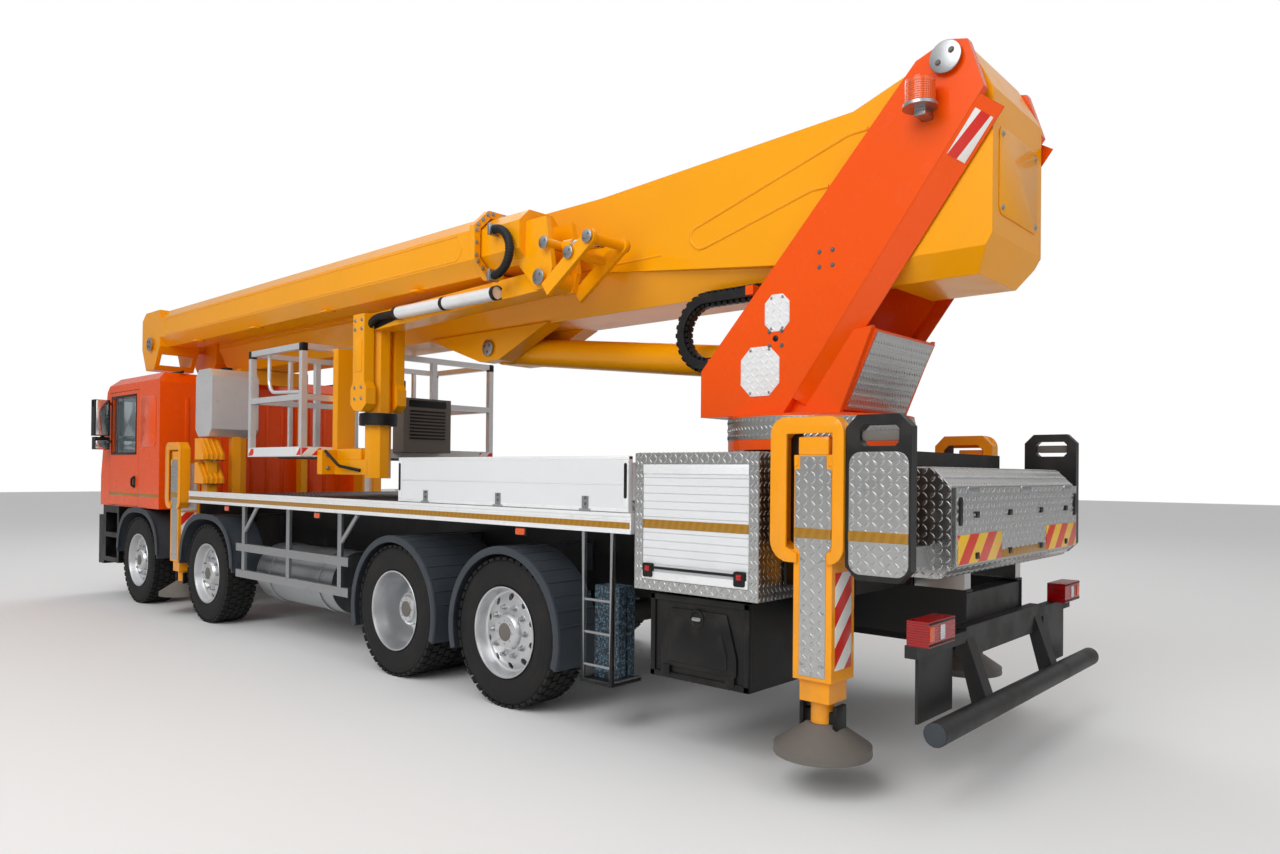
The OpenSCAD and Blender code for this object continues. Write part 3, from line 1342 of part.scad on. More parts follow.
frame();
underrun();
axles();
powertrain();
cab_shell();
cab_interior();
cab_glass();
cab_front();
tail_lamps();
fuel_tank();
mudguards();
side_guards();
deck();
lockers();
shutters();
toolboxes();
rear_body();
boom_rest();
fluid_box();
subframe();
door(1);  // door_left
door(-1);  // door_right
door_glass(1);  // door_glass_left
door_glass(-1);  // door_glass_right
knuckle(axle_1_x, 1);  // knuckle_1_left
knuckle(axle_1_x, -1);  // knuckle_1_right
knuckle(axle_2_x, 1);  // knuckle_2_left
knuckle(axle_2_x, -1);  // knuckle_2_right
single_wheel(axle_1_x, 1);  // wheel_1_left
single_wheel(axle_1_x, -1);  // wheel_1_right
single_wheel(axle_2_x, 1);  // wheel_2_left
single_wheel(axle_2_x, -1);  // wheel_2_right
twin_wheel(axle_3_x, 1);  // wheel_3_left
twin_wheel(axle_3_x, -1);  // wheel_3_right
single_wheel(axle_4_x, 1);  // wheel_4_left
single_wheel(axle_4_x, -1);  // wheel_4_right
outrigger_beam(outrig_front_x, 1);  // beam_front_left
outrigger_beam(outrig_front_x, -1);  // beam_front_right
outrigger_beam(outrig_rear_x, 1);  // beam_rear_left
outrigger_beam(outrig_rear_x, -1);  // beam_rear_right
outrigger_leg(outrig_front_x, 1);  // leg_front_left
outrigger_leg(outrig_front_x, -1);  // leg_front_right
outrigger_leg(outrig_rear_x, 1);  // leg_rear_left
outrigger_leg(outrig_rear_x, -1);  // leg_rear_right
tower();
boom_base();
boom_2();
boom_3();
lift_barrel();
lift_rod();
jib_base();
jib_2();
basket_arm();
cage();
cage_carrier();
dropside(1);  // dropside_left
dropside(-1);  // dropside_right
toolbox_lid(1);  // toolbox_lid_left
toolbox_lid(-1);  // toolbox_lid_right
rear_flap();
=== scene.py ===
# %% [markdown]
# # A truck-mounted aerial work platform
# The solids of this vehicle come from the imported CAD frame: chassis, cab, outriggers, tower, boom, jib and cage.
# This lesson gives them their looks. A frame piece is never moved; it gets a finish, or a finer mesh stands in
# for it on the same body, so that every joint still works.

import json
import math

import bmesh
import bpy
from mathutils import Matrix, Vector


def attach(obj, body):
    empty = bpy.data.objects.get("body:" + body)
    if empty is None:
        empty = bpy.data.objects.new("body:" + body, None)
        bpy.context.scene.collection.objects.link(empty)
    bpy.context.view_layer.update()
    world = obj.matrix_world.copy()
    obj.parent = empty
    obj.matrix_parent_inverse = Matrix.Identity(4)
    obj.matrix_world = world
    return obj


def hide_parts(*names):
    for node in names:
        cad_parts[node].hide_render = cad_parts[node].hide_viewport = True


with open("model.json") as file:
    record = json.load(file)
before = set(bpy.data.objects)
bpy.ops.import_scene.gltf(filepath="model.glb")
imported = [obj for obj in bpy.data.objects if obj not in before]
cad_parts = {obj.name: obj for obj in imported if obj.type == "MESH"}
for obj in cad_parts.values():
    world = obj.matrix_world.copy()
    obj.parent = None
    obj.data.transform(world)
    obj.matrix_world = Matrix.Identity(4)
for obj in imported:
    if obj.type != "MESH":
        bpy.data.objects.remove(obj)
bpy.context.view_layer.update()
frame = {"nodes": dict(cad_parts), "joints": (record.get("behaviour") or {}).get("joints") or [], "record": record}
nodes = frame["nodes"]
body_of_node = {n: b for b, members in frame["record"]["behaviour"]["bodies"].items() for n in members}
joint_at = {j["child"]: j.get("pos_m", (0, 0, 0)) for j in frame["joints"]}

# %% [markdown]
# ## The camera
# The photograph was taken from behind the left rear corner with a moderately wide lens. A camera can be aimed
# with a Track To constraint, but the picture is tilted by half a degree, so its three axes are worked out here
# and written into the camera's matrix.

# %% Camera
PHOTO_W = 1280
FOCAL_PX = 882.81
CENTRE_SHIFT_PX = (-13.25, 40.2)
EYE = Vector((-7.2842, 5.0801, 1.6029))
YAW, PITCH, ROLL = (math.radians(a) for a in (-48.584, 0.367, 0.547))
SENSOR_MM = 36.0


def camera_axes(yaw, pitch, roll):
    ahead = Vector((math.cos(pitch) * math.cos(yaw), math.cos(pitch) * math.sin(yaw), math.sin(pitch)))
    right = Vector((math.sin(yaw), -math.cos(yaw), 0))
    up = right.cross(ahead)
    tilted_right = math.cos(roll) * right + math.sin(roll) * up
    tilted_up = math.cos(roll) * up - math.sin(roll) * right
    return tilted_right, tilted_up, -ahead


camera_data = bpy.data.cameras.new("photo_camera")
camera_data.sensor_width = SENSOR_MM
camera_data.lens = FOCAL_PX / PHOTO_W * SENSOR_MM
camera_data.shift_x = CENTRE_SHIFT_PX[0] / PHOTO_W
camera_data.shift_y = CENTRE_SHIFT_PX[1] / PHOTO_W
camera = bpy.data.objects.new("photo_camera", camera_data)
camera.matrix_world = Matrix.Translation(EYE) @ Matrix(camera_axes(YAW, PITCH, ROLL)).transposed().to_4x4()
bpy.context.scene.collection.objects.link(camera)
bpy.context.scene.camera = camera
bpy.context.scene.view_settings.view_transform = "Standard"
print("lens", round(camera_data.lens, 2), "mm")

# %% [markdown]
# ## Shader sums
# A finish is a tree of nodes. Wiring each Math node by hand hides the sum it makes, so one small class wraps a
# socket: adding, multiplying or comparing two wires adds the Math node, and `add` makes any other node.

# %% A wire that can be added and multiplied
class Wire:
    def __init__(self, tree, socket):
        self.tree, self.socket = tree, socket

    def add(self, kind, settings=None, sockets=None, out=0):
        node = self.tree.nodes.new(kind if kind.startswith(("Geometry", "Function")) else "ShaderNode" + kind)
        for name, value in (settings or {}).items():
            setattr(node, name, value)
        for name, value in (sockets or {}).items():
            for wire in value if isinstance(value, list) else [value]:
                if isinstance(wire, Wire):
                    self.tree.links.new(wire.socket, node.inputs[name])
                else:
                    node.inputs[name].default_value = wire
        return Wire(self.tree, node.outputs[out])

    def sum(self, operation, *values):
        return self.add("Math", {"operation": operation}, dict(enumerate(values)))

    def __add__(self, other):
        return self.sum("ADD", self, other)

    def __sub__(self, other):
        return self.sum("SUBTRACT", self, other)

    def __rsub__(self, other):
        return self.sum("SUBTRACT", other, self)

    def __mul__(self, other):
        return self.sum("MULTIPLY", self, other)

    def __gt__(self, other):
        return self.sum("GREATER_THAN", self, other)

    def __lt__(self, other):
        return self.sum("LESS_THAN", self, other)

    __radd__, __rmul__ = __add__, __mul__


def other_out(wire, name):
    return Wire(wire.tree, wire.socket.node.outputs[name])


def blend_colours(factor, first, second):
    pick = lambda tone: tone if isinstance(tone, Wire) else (*tone, 1)
    return factor.add("Mix", {"data_type": "RGBA"}, {0: factor, 6: pick(first), 7: pick(second)}, 2)


# %% [markdown]
# ## A finish and the patterns it draws on
# Every finish starts from one Principled shader. Object coordinates are metres in the vehicle's own frame here,
# because every piece has its place in its mesh, so a pattern's scale is a real size and runs across pieces.

# %% New finishes
FINISHES = {}


def new_finish(name, colour, roughness, metallic=0.0, **constants):
    material = bpy.data.materials.new(name)
    material.use_nodes = True
    material.diffuse_color = (*colour, 1)
    shader = material.node_tree.nodes["Principled BSDF"]
    shader.inputs["Base Color"].default_value = (*colour, 1)
    shader.inputs["Roughness"].default_value = roughness
    shader.inputs["Metallic"].default_value = metallic
    for socket, value in constants.items():
        shader.inputs[socket.replace("_", " ")].default_value = value
    FINISHES[name] = material
    place = Wire(material.node_tree, None).add("TexCoord", out=3)
    return material, shader, place


def feed(shader, **wires):
    for socket, wire in wires.items():
        wire.tree.links.new(wire.socket, shader.inputs[socket.replace("_", " ")])


def speckle(place, scale, detail=4.0, roughness=0.55):
    return place.add("TexNoise", {}, {"Vector": place, "Scale": scale, "Detail": detail, "Roughness": roughness})


def stretched(place, scales):
    return place.add("Mapping", {"vector_type": "POINT"}, {"Vector": place, "Scale": scales})


def part_of(place, letter):
    return place.add("SeparateXYZ", {}, {0: place}, "XYZ".index(letter))


def soft_step(value, low, high):
    return value.add("MapRange", {"interpolation_type": "SMOOTHSTEP"},
                     {"Value": value, "From Min": low, "From Max": high, "To Min": 0.0, "To Max": 1.0})


def relief(height, depth, strength=1.0, under=None):
    sockets = {"Height": height, "Distance": depth, "Strength": strength}
    if under is not None:
        sockets["Normal"] = under
    return height.add("Bump", {}, sockets)


def eased_edge(place, radius):
    return place.add("Bevel", {"samples": 4}, {"Radius": radius})


print("shader helpers ready")

# %% [markdown]
# ## Gloss paint
# Boom and jib wear an orange-yellow two-coat paint, cab and tower an orange-red one. A flat colour would look
# like plastic, so the paint gets slow clouds of tone, a skin as fine as orange peel, dust that gathers low down,
# and a clear coat. The Bevel node eases the sharp CAD edges so that they catch the light as real sheet metal does.

# %% Paints
def shade(red, green, blue):
    straight = lambda v: v / 12.92 if v <= 0.04045 else ((v + 0.055) / 1.055) ** 2.4
    return tuple(straight(v / 255) for v in (red, green, blue))


ROAD_DUST = shade(120, 108, 92)


def gloss_paint(name, colour, roughness=0.28, coat=0.25, edge=0.008):
    material, shader, place = new_finish(name, colour, roughness, Coat_Roughness=0.08, Specular_IOR_Level=0.2)
    clouds = speckle(place, 1.1)
    grime = soft_step(speckle(place, 6.0, 7.0), 0.45, 0.8)
    low = 1 - soft_step(part_of(place, "Z"), 0.35, 1.5)
    darker = tuple(0.93 * c for c in colour)
    body = blend_colours(clouds, darker, tuple(min(1.0, 1.03 * c) for c in colour))
    dusty = blend_colours(grime * (0.03 + low * 0.25), body, ROAD_DUST)
    peel = relief(speckle(place, 220.0, 2.0), 0.0003, 0.2, eased_edge(place, edge))
    feed(shader, Base_Color=dusty, Roughness=roughness + grime * 0.12 + low * 0.1,
         Coat_Weight=coat - grime * 0.15, Normal=peel)
    return material


def satin_paint(name, colour, roughness=0.5):
    material, shader, place = new_finish(name, colour, roughness)
    dust = soft_step(speckle(place, 4.0, 8.0), 0.4, 0.75)
    scuff = soft_step(speckle(stretched(place, (3, 3, 40)), 6.0), 0.62, 0.78)
    feed(shader, Base_Color=blend_colours(dust * 0.08, colour, ROAD_DUST),
         Roughness=roughness + dust * 0.25 - scuff * 0.12,
         Normal=relief(speckle(place, 160.0), 0.0004, 0.35, eased_edge(place, 0.005)))
    return material


BOOM_YELLOW = shade(250, 166, 4)
CAB_ORANGE = shade(244, 84, 0)
boom_paint = gloss_paint("boom_paint", BOOM_YELLOW)
leg_paint = gloss_paint("leg_paint", shade(248, 160, 16), 0.3, 0.4)
cab_paint = gloss_paint("cab_paint", CAB_ORANGE, 0.24, 0.3)
frame_paint = satin_paint("frame_paint", shade(22, 22, 24))
body_black = satin_paint("body_black", shade(16, 16, 17), 0.34)
white_coat = gloss_paint("white_coat", shade(226, 228, 230), 0.32, 0.3, 0.004)
cast_grey = satin_paint("cast_grey", shade(106, 100, 94), 0.55)
print("paints", len(FINISHES))

# %% [markdown]
# ## Bare metal
# The deck rails and the cage are mill-finish aluminium: fine lines run along the extrusion and the gloss changes
# from patch to patch. Noise stretched along the rail makes the lines; the same idea with other numbers makes the
# rolled plate, the zinc of the fittings and the polished cylinder rod.

# %% Metals
def drawn_metal(name, colour, roughness, grain, depth=0.0002, edge=0.003, metallic=1.0):
    material, shader, place = new_finish(name, colour, roughness, metallic)
    lines = speckle(stretched(place, grain), 40.0, 5.0, 0.7)
    patches = speckle(place, 5.0, 6.0)
    stain = soft_step(speckle(place, 14.0, 8.0), 0.55, 0.8)
    dull = tuple(0.72 * c for c in colour)
    feed(shader, Base_Color=blend_colours(patches * 0.5 + stain * 0.4, colour, dull),
         Roughness=roughness + lines * 0.14 + stain * 0.15 - patches * 0.1,
         Normal=relief(lines, depth, 0.5, eased_edge(place, edge)))
    return material


rail_metal = drawn_metal("rail_metal", shade(246, 247, 248), 0.38, (0.6, 9, 9), metallic=0.2)
plate_metal = drawn_metal("plate_metal", shade(196, 197, 196), 0.27, (4, 4, 4), 0.0004)
upright_metal = drawn_metal("upright_metal", shade(230, 231, 233), 0.34, (9, 9, 0.6), metallic=0.6)
zinc = drawn_metal("zinc", shade(176, 178, 180), 0.34, (14, 14, 14))
rod_chrome = drawn_metal("rod_chrome", shade(226, 227, 230), 0.1, (1, 14, 14), 0.00005)
rim_metal = drawn_metal("rim_metal", shade(214, 215, 217), 0.32, (6, 6, 6), metallic=0.85)
iron = satin_paint("iron", shade(58, 57, 56), 0.62)
print("metals ready")

# %% [markdown]
# ## Plastic, rubber, glass and lamps
# Moulded mudguards and toolboxes have a fine leather-like grain and no shine; tyres are duller still and browner with
# dust. Lamp lenses carry a small prism grid, drawn as a relief so that they glint, with painted shade in its grooves.

# %% Plastics, rubber, glass, lamps
def moulding(name, colour, roughness=0.55, grain=420.0):
    material, shader, place = new_finish(name, colour, roughness, Specular_IOR_Level=0.3)
    pores = place.add("TexVoronoi", {}, {"Vector": place, "Scale": grain})
    dust = soft_step(speckle(place, 7.0, 7.0), 0.42, 0.78)
    feed(shader, Base_Color=blend_colours(dust * 0.08, colour, ROAD_DUST), Roughness=roughness + dust * 0.2,
         Normal=relief(pores, 0.0003, 0.35, eased_edge(place, 0.006)))
    return material


PRISM_W = 0.006


def lens(name, colour, groove_shade_ratio):
    material, shader, place = new_finish(name, colour, 0.16, Coat_Weight=0.35)
    across, upwards = (part_of(place, letter) for letter in "YZ")
    prism = across.sum("PINGPONG", across, PRISM_W) + upwards.sum("PINGPONG", upwards, PRISM_W)
    depth = soft_step(prism, 0.0, 2 * PRISM_W)
    # Painted shade: the grooves of the prism grid take the lens colour darkened by this ratio.
    groove_shade = tuple(groove_shade_ratio * c for c in colour)
    feed(shader, Base_Color=blend_colours(depth, groove_shade, colour), Roughness=0.1 + depth * 0.15,
         Normal=relief(prism, 0.4, 0.5))
    return material


def tape(name, first, second, pitch, slope):
    material, shader, place = new_finish(name, first, 0.4)
    across = part_of(place, "Y") + part_of(place, "X") + part_of(place, "Z") * slope
    bands = across.sum("FRACT", across * (1 / pitch)) > 0.5
    wear = soft_step(speckle(place, 60.0, 6.0), 0.58, 0.75)
    mesh = place.add("TexVoronoi", {"feature": "DISTANCE_TO_EDGE"}, {"Vector": place, "Scale": 320.0})
    printed = blend_colours(bands, first, second)
    feed(shader, Base_Color=blend_colours(wear * 0.25, printed, ROAD_DUST), Roughness=0.3 + wear * 0.3,
         Normal=relief(mesh, 0.0006, 0.25))
    return material


black_moulding = moulding("black_moulding", shade(12, 12, 13), 0.38)
guard_moulding = moulding("guard_moulding", shade(58, 64, 71), 0.46)
cab_trim = moulding("cab_trim", shade(38, 38, 40), 0.62, 300.0)
hose_rubber = moulding("hose_rubber", shade(20, 20, 21), 0.5, 900.0)
tyre_rubber = moulding("tyre_rubber", shade(27, 27, 28), 0.72, 700.0)
red_lens = lens("red_lens", shade(196, 8, 10), 0.35)
amber_lens = lens("amber_lens", shade(255, 96, 8), 0.5)
clear_lens = lens("clear_lens", shade(228, 232, 235), 0.6)
warning_tape = tape("warning_tape", shade(214, 40, 28), shade(232, 232, 228), 0.2, 1.0)
marker_tape = tape("marker_tape", shade(214, 52, 24), shade(240, 190, 40), 0.24, 1.0)
ochre_tape = tape("ochre_tape", shade(156, 110, 16), shade(166, 120, 24), 0.05, 0.3)
GLASS_TINT = shade(150, 165, 168)
glass, glass_shader, glass_place = new_finish("glass", GLASS_TINT, 0.04, Transmission_Weight=0.85, IOR=1.45)
film = soft_step(speckle(glass_place, 3.0, 8.0), 0.45, 0.85)
feed(glass_shader, Roughness=0.02 + film * 0.12, Base_Color=blend_colours(film * 0.3, GLASS_TINT, ROAD_DUST))
print("finishes", len(FINISHES))

# %% [markdown]
# ## Floor and light
# The picture has a white ground. One pale sheet runs under the vehicle, three broad lamps stand where a studio's
# soft boxes would. The sky is full white to the camera and through glass. In mirror rays it darkens towards the
# horizon, so that metal shows its form, and as a light it counts by half, so that pale surfaces don't clip.

# %% Stage
SKY_LIGHT = 0.5
HORIZON_GLOSS, ZENITH_GLOSS = 0.3, 1.0
FLOOR_HALF = 60.0
LAMPS = [
    # place, aim, size in metres, watts
    ((-5.0, 12.0, 10.0), (-1.0, 0.0, 1.8), 9.0, 1080),
    ((-13.0, 3.0, 9.0), (-3.0, 0.0, 2.0), 7.0, 140),
    ((8.0, -9.0, 10.0), (0.0, 0.0, 1.5), 10.0, 450),
]

world = bpy.data.worlds.new("studio")
bpy.context.scene.world = world
world.use_nodes = True
sky = world.node_tree.nodes["Background"]
seen = Wire(world.node_tree, None).add("LightPath")
backdrop = seen.sum("MAXIMUM", other_out(seen, "Is Camera Ray"), other_out(seen, "Is Transmission Ray"))
height = part_of(seen.add("TexCoord", out="Generated"), "Z")
mirror_sky = HORIZON_GLOSS + soft_step(height, 0.02, 0.85) * (ZENITH_GLOSS - HORIZON_GLOSS)
lit = SKY_LIGHT + other_out(seen, "Is Glossy Ray") * (mirror_sky - SKY_LIGHT)
feed(sky, Strength=backdrop + (1 - backdrop) * lit)
sky.inputs["Color"].default_value = (1, 1, 1, 1)

floor_mesh = bpy.data.meshes.new("floor")
floor_corners = [(sx * FLOOR_HALF, sy * FLOOR_HALF, 0) for sx, sy in ((-1, -1), (1, -1), (1, 1), (-1, 1))]
floor_mesh.from_pydata(floor_corners, [], [(0, 1, 2, 3)])
floor_finish, floor_shader, floor_place = new_finish("floor", (0.9, 0.9, 0.9), 0.8)
feed(floor_shader, Roughness=0.7 + speckle(floor_place, 2.0) * 0.2)
floor_mesh.materials.append(floor_finish)
floor = bpy.data.objects.new("floor", floor_mesh)
bpy.context.scene.collection.objects.link(floor)
for number, (place, aim, size, watts) in enumerate(LAMPS):
    lamp_data = bpy.data.lights.new(f"soft_box_{number}", "AREA")
    lamp_data.energy, lamp_data.size = watts, size
    lamp = bpy.data.objects.new(lamp_data.name, lamp_data)
    lamp.location = place
    lamp.rotation_euler = (Vector(aim) - Vector(place)).to_track_quat("-Z", "Y").to_euler()
    bpy.context.scene.collection.objects.link(lamp)
print("lamps", len(LAMPS))

# %% [markdown]
# ## Finishes on the CAD pieces
# Most solids only need their finish. A short table names the finish for each group of nodes; a node that carries
# two finishes has some of its faces painted later, or pieces laid on it.

# %% Finish of every node
ENDS = [f"{end}_{side}" for end in ("front", "rear") for side in ("left", "right")]
NODE_FINISH = {
    cab_paint: ["cab_shell", "door_left", "door_right", "tower"],
    boom_paint: ["boom_base", "boom_2", "boom_3", "jib_base", "jib_2", "basket_arm", "cage_carrier", "lift_barrel",
                 "boom_rest"],
    leg_paint: [f"{part}_{end}" for part in ("beam", "leg") for end in ENDS],
    frame_paint: ["frame", "underrun", "subframe"],
    iron: ["axles", "powertrain"] + [f"knuckle_{i}_{side}" for i in (1, 2) for side in ("left", "right")],
    tyre_rubber: [f"wheel_{i}_{side}" for i in (1, 2, 3, 4) for side in ("left", "right")],
    rail_metal: ["deck"],
    zinc: ["side_guards", "fuel_tank"],
    plate_metal: ["lockers", "rear_body", "rear_flap"],
    upright_metal: ["cage", "fluid_box"],
    white_coat: ["shutters", "dropside_left", "dropside_right"],
    black_moulding: ["toolboxes", "toolbox_lid_left", "toolbox_lid_right", "cab_front"],
    guard_moulding: ["mudguards"],
    glass: ["cab_glass", "door_glass_left", "door_glass_right"],
    red_lens: ["tail_lamps"],
    cab_trim: ["cab_interior"],
    rod_chrome: ["lift_rod"],
}
for finish, names in NODE_FINISH.items():
    for name in names:
        nodes[name].data.materials.clear()
        nodes[name].data.materials.append(finish)
print("finished nodes", sum(len(names) for names in NODE_FINISH.values()), "of", len(nodes))

# %% [markdown]
# ## Small makers for plain shapes
# Plates, turned parts and blocks come up everywhere on a truck. Modelling each by hand would take hundreds of
# lines, so four makers build them from an outline in metres: a slab pushed along an axis, a block, a turned
# profile, and a joined piece that rides on a body.

# %% Makers
AXES = {"X": (1, 2, 0), "Y": (0, 2, 1), "Z": (0, 1, 2)}


def as_mesh(bm):
    bmesh.ops.recalc_face_normals(bm, faces=bm.faces[:])
    mesh = bpy.data.meshes.new("part")
    bm.to_mesh(mesh)
    bm.free()
    return mesh


def slab(outline, axis, low, high, ease=0.003):
    """A flat outline, in the plane of the two other axes, pushed along an axis and eased at its edges."""
    first, second, depth = AXES[axis]
    bm = bmesh.new()
    rings = []
    for level in (low, high):
        ring = []
        for a, b in outline:
            point = [0, 0, 0]
            point[first], point[second], point[depth] = a, b, level
            ring.append(bm.verts.new(point))
        rings.append(ring)
    count = len(outline)
    bm.faces.new(rings[0])
    bm.faces.new(rings[1])
    for i in range(count):
        bm.faces.new((rings[0][i], rings[0][(i + 1) % count], rings[1][(i + 1) % count], rings[1][i]))
    if ease:
        bmesh.ops.recalc_face_normals(bm, faces=bm.faces[:])
        bmesh.ops.bevel(bm, geom=bm.edges[:], offset=ease, segments=2, affect="EDGES", profile=0.5,
                        clamp_overlap=True)
    return as_mesh(bm)


def box_outline(low, high):
    return [(low[0], low[1]), (high[0], low[1]), (high[0], high[1]), (low[0], high[1])]


def block(corner, opposite, ease=0.003):
    low, high = (tuple(pick(pair) for pair in zip(corner, opposite)) for pick in (min, max))
    return slab(box_outline(low, high), "Z", low[2], high[2], ease)


def turned(profile, centre, axis, steps=48, closed=False):
    """Turns a profile of (along, radius) points about an axis through a centre."""
    first, second, depth = AXES[axis]
    bm = bmesh.new()
    rings = []
    for along, radius in profile:
        spots = steps if radius > 1e-6 else 1
        ring = []
        for k in range(spots):
            angle = 2 * math.pi * k / steps
            point = list(centre)
            point[first] += radius * math.cos(angle)
            point[second] += radius * math.sin(angle)
            point[depth] += along
            ring.append(bm.verts.new(point))
        rings.append(ring)
    pairs = list(zip(rings, rings[1:])) + ([(rings[-1], rings[0])] if closed else [])
    for one, two in pairs:
        for k in range(steps):
            corners = (one[k % len(one)], one[(k + 1) % len(one)], two[(k + 1) % len(two)], two[k % len(two)])
            unlike = list(dict.fromkeys(corners))
            if len(unlike) > 2:
                bm.faces.new(unlike)
    return as_mesh(bm)


def quarter(middle, radius, start, steps=6):
    turns = [math.radians(start + 90 * k / steps) for k in range(steps + 1)]
    return [(middle[0] + radius * math.cos(t), middle[1] + radius * math.sin(t)) for t in turns]


def round_outline(low, high, radius, steps=6):
    left, right, under, over = low[0] + radius, high[0] - radius, low[1] + radius, high[1] - radius
    corners = (((right, over), 0), ((left, over), 90), ((left, under), 180), ((right, under), 270))
    return [point for middle, start in corners for point in quarter(middle, radius, start, steps)]


def cut_outline(low, high, cut):
    return [(low[0] + cut, low[1]), (high[0] - cut, low[1]), (high[0], low[1] + cut), (high[0], high[1] - cut),
            (high[0] - cut, high[1]), (low[0] + cut, high[1]), (low[0], high[1] - cut), (low[0], low[1] + cut)]


SMOOTH_BELOW = math.radians(32)


def piece(name, body, parts, replaces=()):
    """Joins parts, given as (mesh, finish), into one object that rides on a body."""
    joined = bmesh.new()
    mesh = bpy.data.meshes.new(name)
    for part, finish in parts:
        if finish.name not in mesh.materials:
            mesh.materials.append(finish)
        number = mesh.materials.find(finish.name)
        done = len(joined.faces)
        joined.from_mesh(part)
        joined.faces.ensure_lookup_table()
        for face in joined.faces[done:]:
            face.material_index = number
            face.smooth = True
        bpy.data.meshes.remove(part)
    joined.to_mesh(mesh)
    joined.free()
    mesh.set_sharp_from_angle(angle=SMOOTH_BELOW)
    obj = bpy.data.objects.new(name, mesh)
    bpy.context.scene.collection.objects.link(obj)
    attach(obj, body)
    if replaces:
        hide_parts(*replaces)
    print(name, "faces", len(mesh.polygons), "on", body)
    return obj


def both_ways(mesh):
    """A mirrored copy of a part for the other side of the vehicle."""
    other = mesh.copy()
    other.transform(Matrix.Scale(-1, 4, (0, 1, 0)))
    other.flip_normals()
    return other


# %% [markdown]
# ## Trees that repeat a shape
# Bolts, checker-plate studs, tread blocks and hoses repeat a small shape or follow a path. Geometry Nodes do that
# well: a tree takes a base mesh and named sizes, and its result is made a plain mesh before it is used.

# %% Growing a mesh with a tree
def grow_tree(name, sizes, build):
    tree = bpy.data.node_groups.new(name, "GeometryNodeTree")
    tree.is_modifier = True
    tree.interface.new_socket("Geometry", in_out="INPUT", socket_type="NodeSocketGeometry")
    for label, value in sizes.items():
        kind = "NodeSocketInt" if isinstance(value, int) else "NodeSocketFloat"
        tree.interface.new_socket(label, in_out="INPUT", socket_type=kind).default_value = value
    tree.interface.new_socket("Finish", in_out="INPUT", socket_type="NodeSocketMaterial")
    tree.interface.new_socket("Geometry", in_out="OUTPUT", socket_type="NodeSocketGeometry")
    start, end = tree.nodes.new("NodeGroupInput"), tree.nodes.new("NodeGroupOutput")
    given = {socket.name: Wire(tree, socket) for socket in start.outputs if socket.name}
    shape = build(given)
    solid = shape.add("GeometryNodeRealizeInstances", {}, {"Geometry": shape})
    dressed = solid.add("GeometryNodeSetMaterial", {}, {"Geometry": solid, "Material": given["Finish"]})
    tree.links.new(dressed.socket, end.inputs[0])
    return tree


def grown(tree, base, finish, place=None, **sizes):
    holder = bpy.data.objects.new("holder", base)
    bpy.context.scene.collection.objects.link(holder)
    modifier = holder.modifiers.new("grow", "NODES")
    modifier.node_group = tree
    values = {"Finish": finish, **{label.replace("_", " "): value for label, value in sizes.items()}}
    for item in tree.interface.items_tree:
        if item.in_out == "INPUT" and item.name in values:
            modifier[item.identifier] = values[item.name]
    graph = bpy.context.evaluated_depsgraph_get()
    mesh = bpy.data.meshes.new_from_object(holder.evaluated_get(graph), depsgraph=graph)
    holder.modifiers.remove(modifier)
    bpy.data.objects.remove(holder)
    if place is not None:
        mesh.transform(place)
    return mesh


def facing(origin, right, up):
    right, up = Vector(right).normalized(), Vector(up).normalized()
    return Matrix.Translation(origin) @ Matrix((right, up, right.cross(up))).transposed().to_4x4()


ON_PLATE = 0.0004  # a stud stays only where its spot is this near to the plate


def stud_grid(given):
    panel = given["Geometry"]
    grid = panel.add("GeometryNodeMeshGrid", {}, {"Size X": given["Width"], "Size Y": given["Height"],
                                                  "Vertices X": given["Columns"], "Vertices Y": given["Rows"]})
    near = other_out(panel.add("GeometryNodeProximity", {}, {0: panel}), "Distance")
    number = panel.add("GeometryNodeInputIndex")
    row = number.sum("FLOOR", number.sum("DIVIDE", number, given["Rows"]))
    turn = row.sum("MODULO", row + number, 2.0) * (math.pi / 2) + math.pi / 4
    stud = panel.add("GeometryNodeMeshIcoSphere", {}, {"Radius": 1.0, "Subdivisions": 1})
    spin = turn.add("FunctionNodeEulerToRotation", {}, {0: turn.add("CombineXYZ", {}, {"Z": turn})})
    size = turn.add("CombineXYZ", {}, {"X": given["Stud Length"], "Y": given["Stud Width"], "Z": given["Stud Rise"]})
    studs = panel.add("GeometryNodeInstanceOnPoints", {}, {
        "Points": grid, "Selection": near < ON_PLATE, "Instance": stud, "Rotation": spin, "Scale": size})
    return panel.add("GeometryNodeJoinGeometry", {}, {"Geometry": [panel, studs]})


stud_tree = grow_tree("checker_studs", {"Width": 1.0, "Height": 1.0, "Columns": 8, "Rows": 8, "Stud Length": 0.0195,
                                        "Stud Width": 0.0075, "Stud Rise": 0.0042}, stud_grid)
STUD_PITCH = 0.036
PLATE_T = 0.003


def checker(outline, place, finish=plate_metal, pitch=STUD_PITCH):
    """A checker plate: a thin outline in its own plane with raised studs that lean left and right by turns."""
    xs, ys = [p[0] for p in outline], [p[1] for p in outline]
    middle = Vector(((min(xs) + max(xs)) / 2, (min(ys) + max(ys)) / 2, 0))
    base = slab([(x - middle.x, y - middle.y) for x, y in outline], "Z", -PLATE_T, 0.0, 0)
    width, height = max(xs) - min(xs), max(ys) - min(ys)
    columns, rows = max(2, int(width / pitch)), max(2, int(height / pitch))
    inset = pitch * 0.9
    return grown(stud_tree, base, finish, place @ Matrix.Translation(middle), Width=width - inset,
                 Height=height - inset, Columns=columns, Rows=rows)


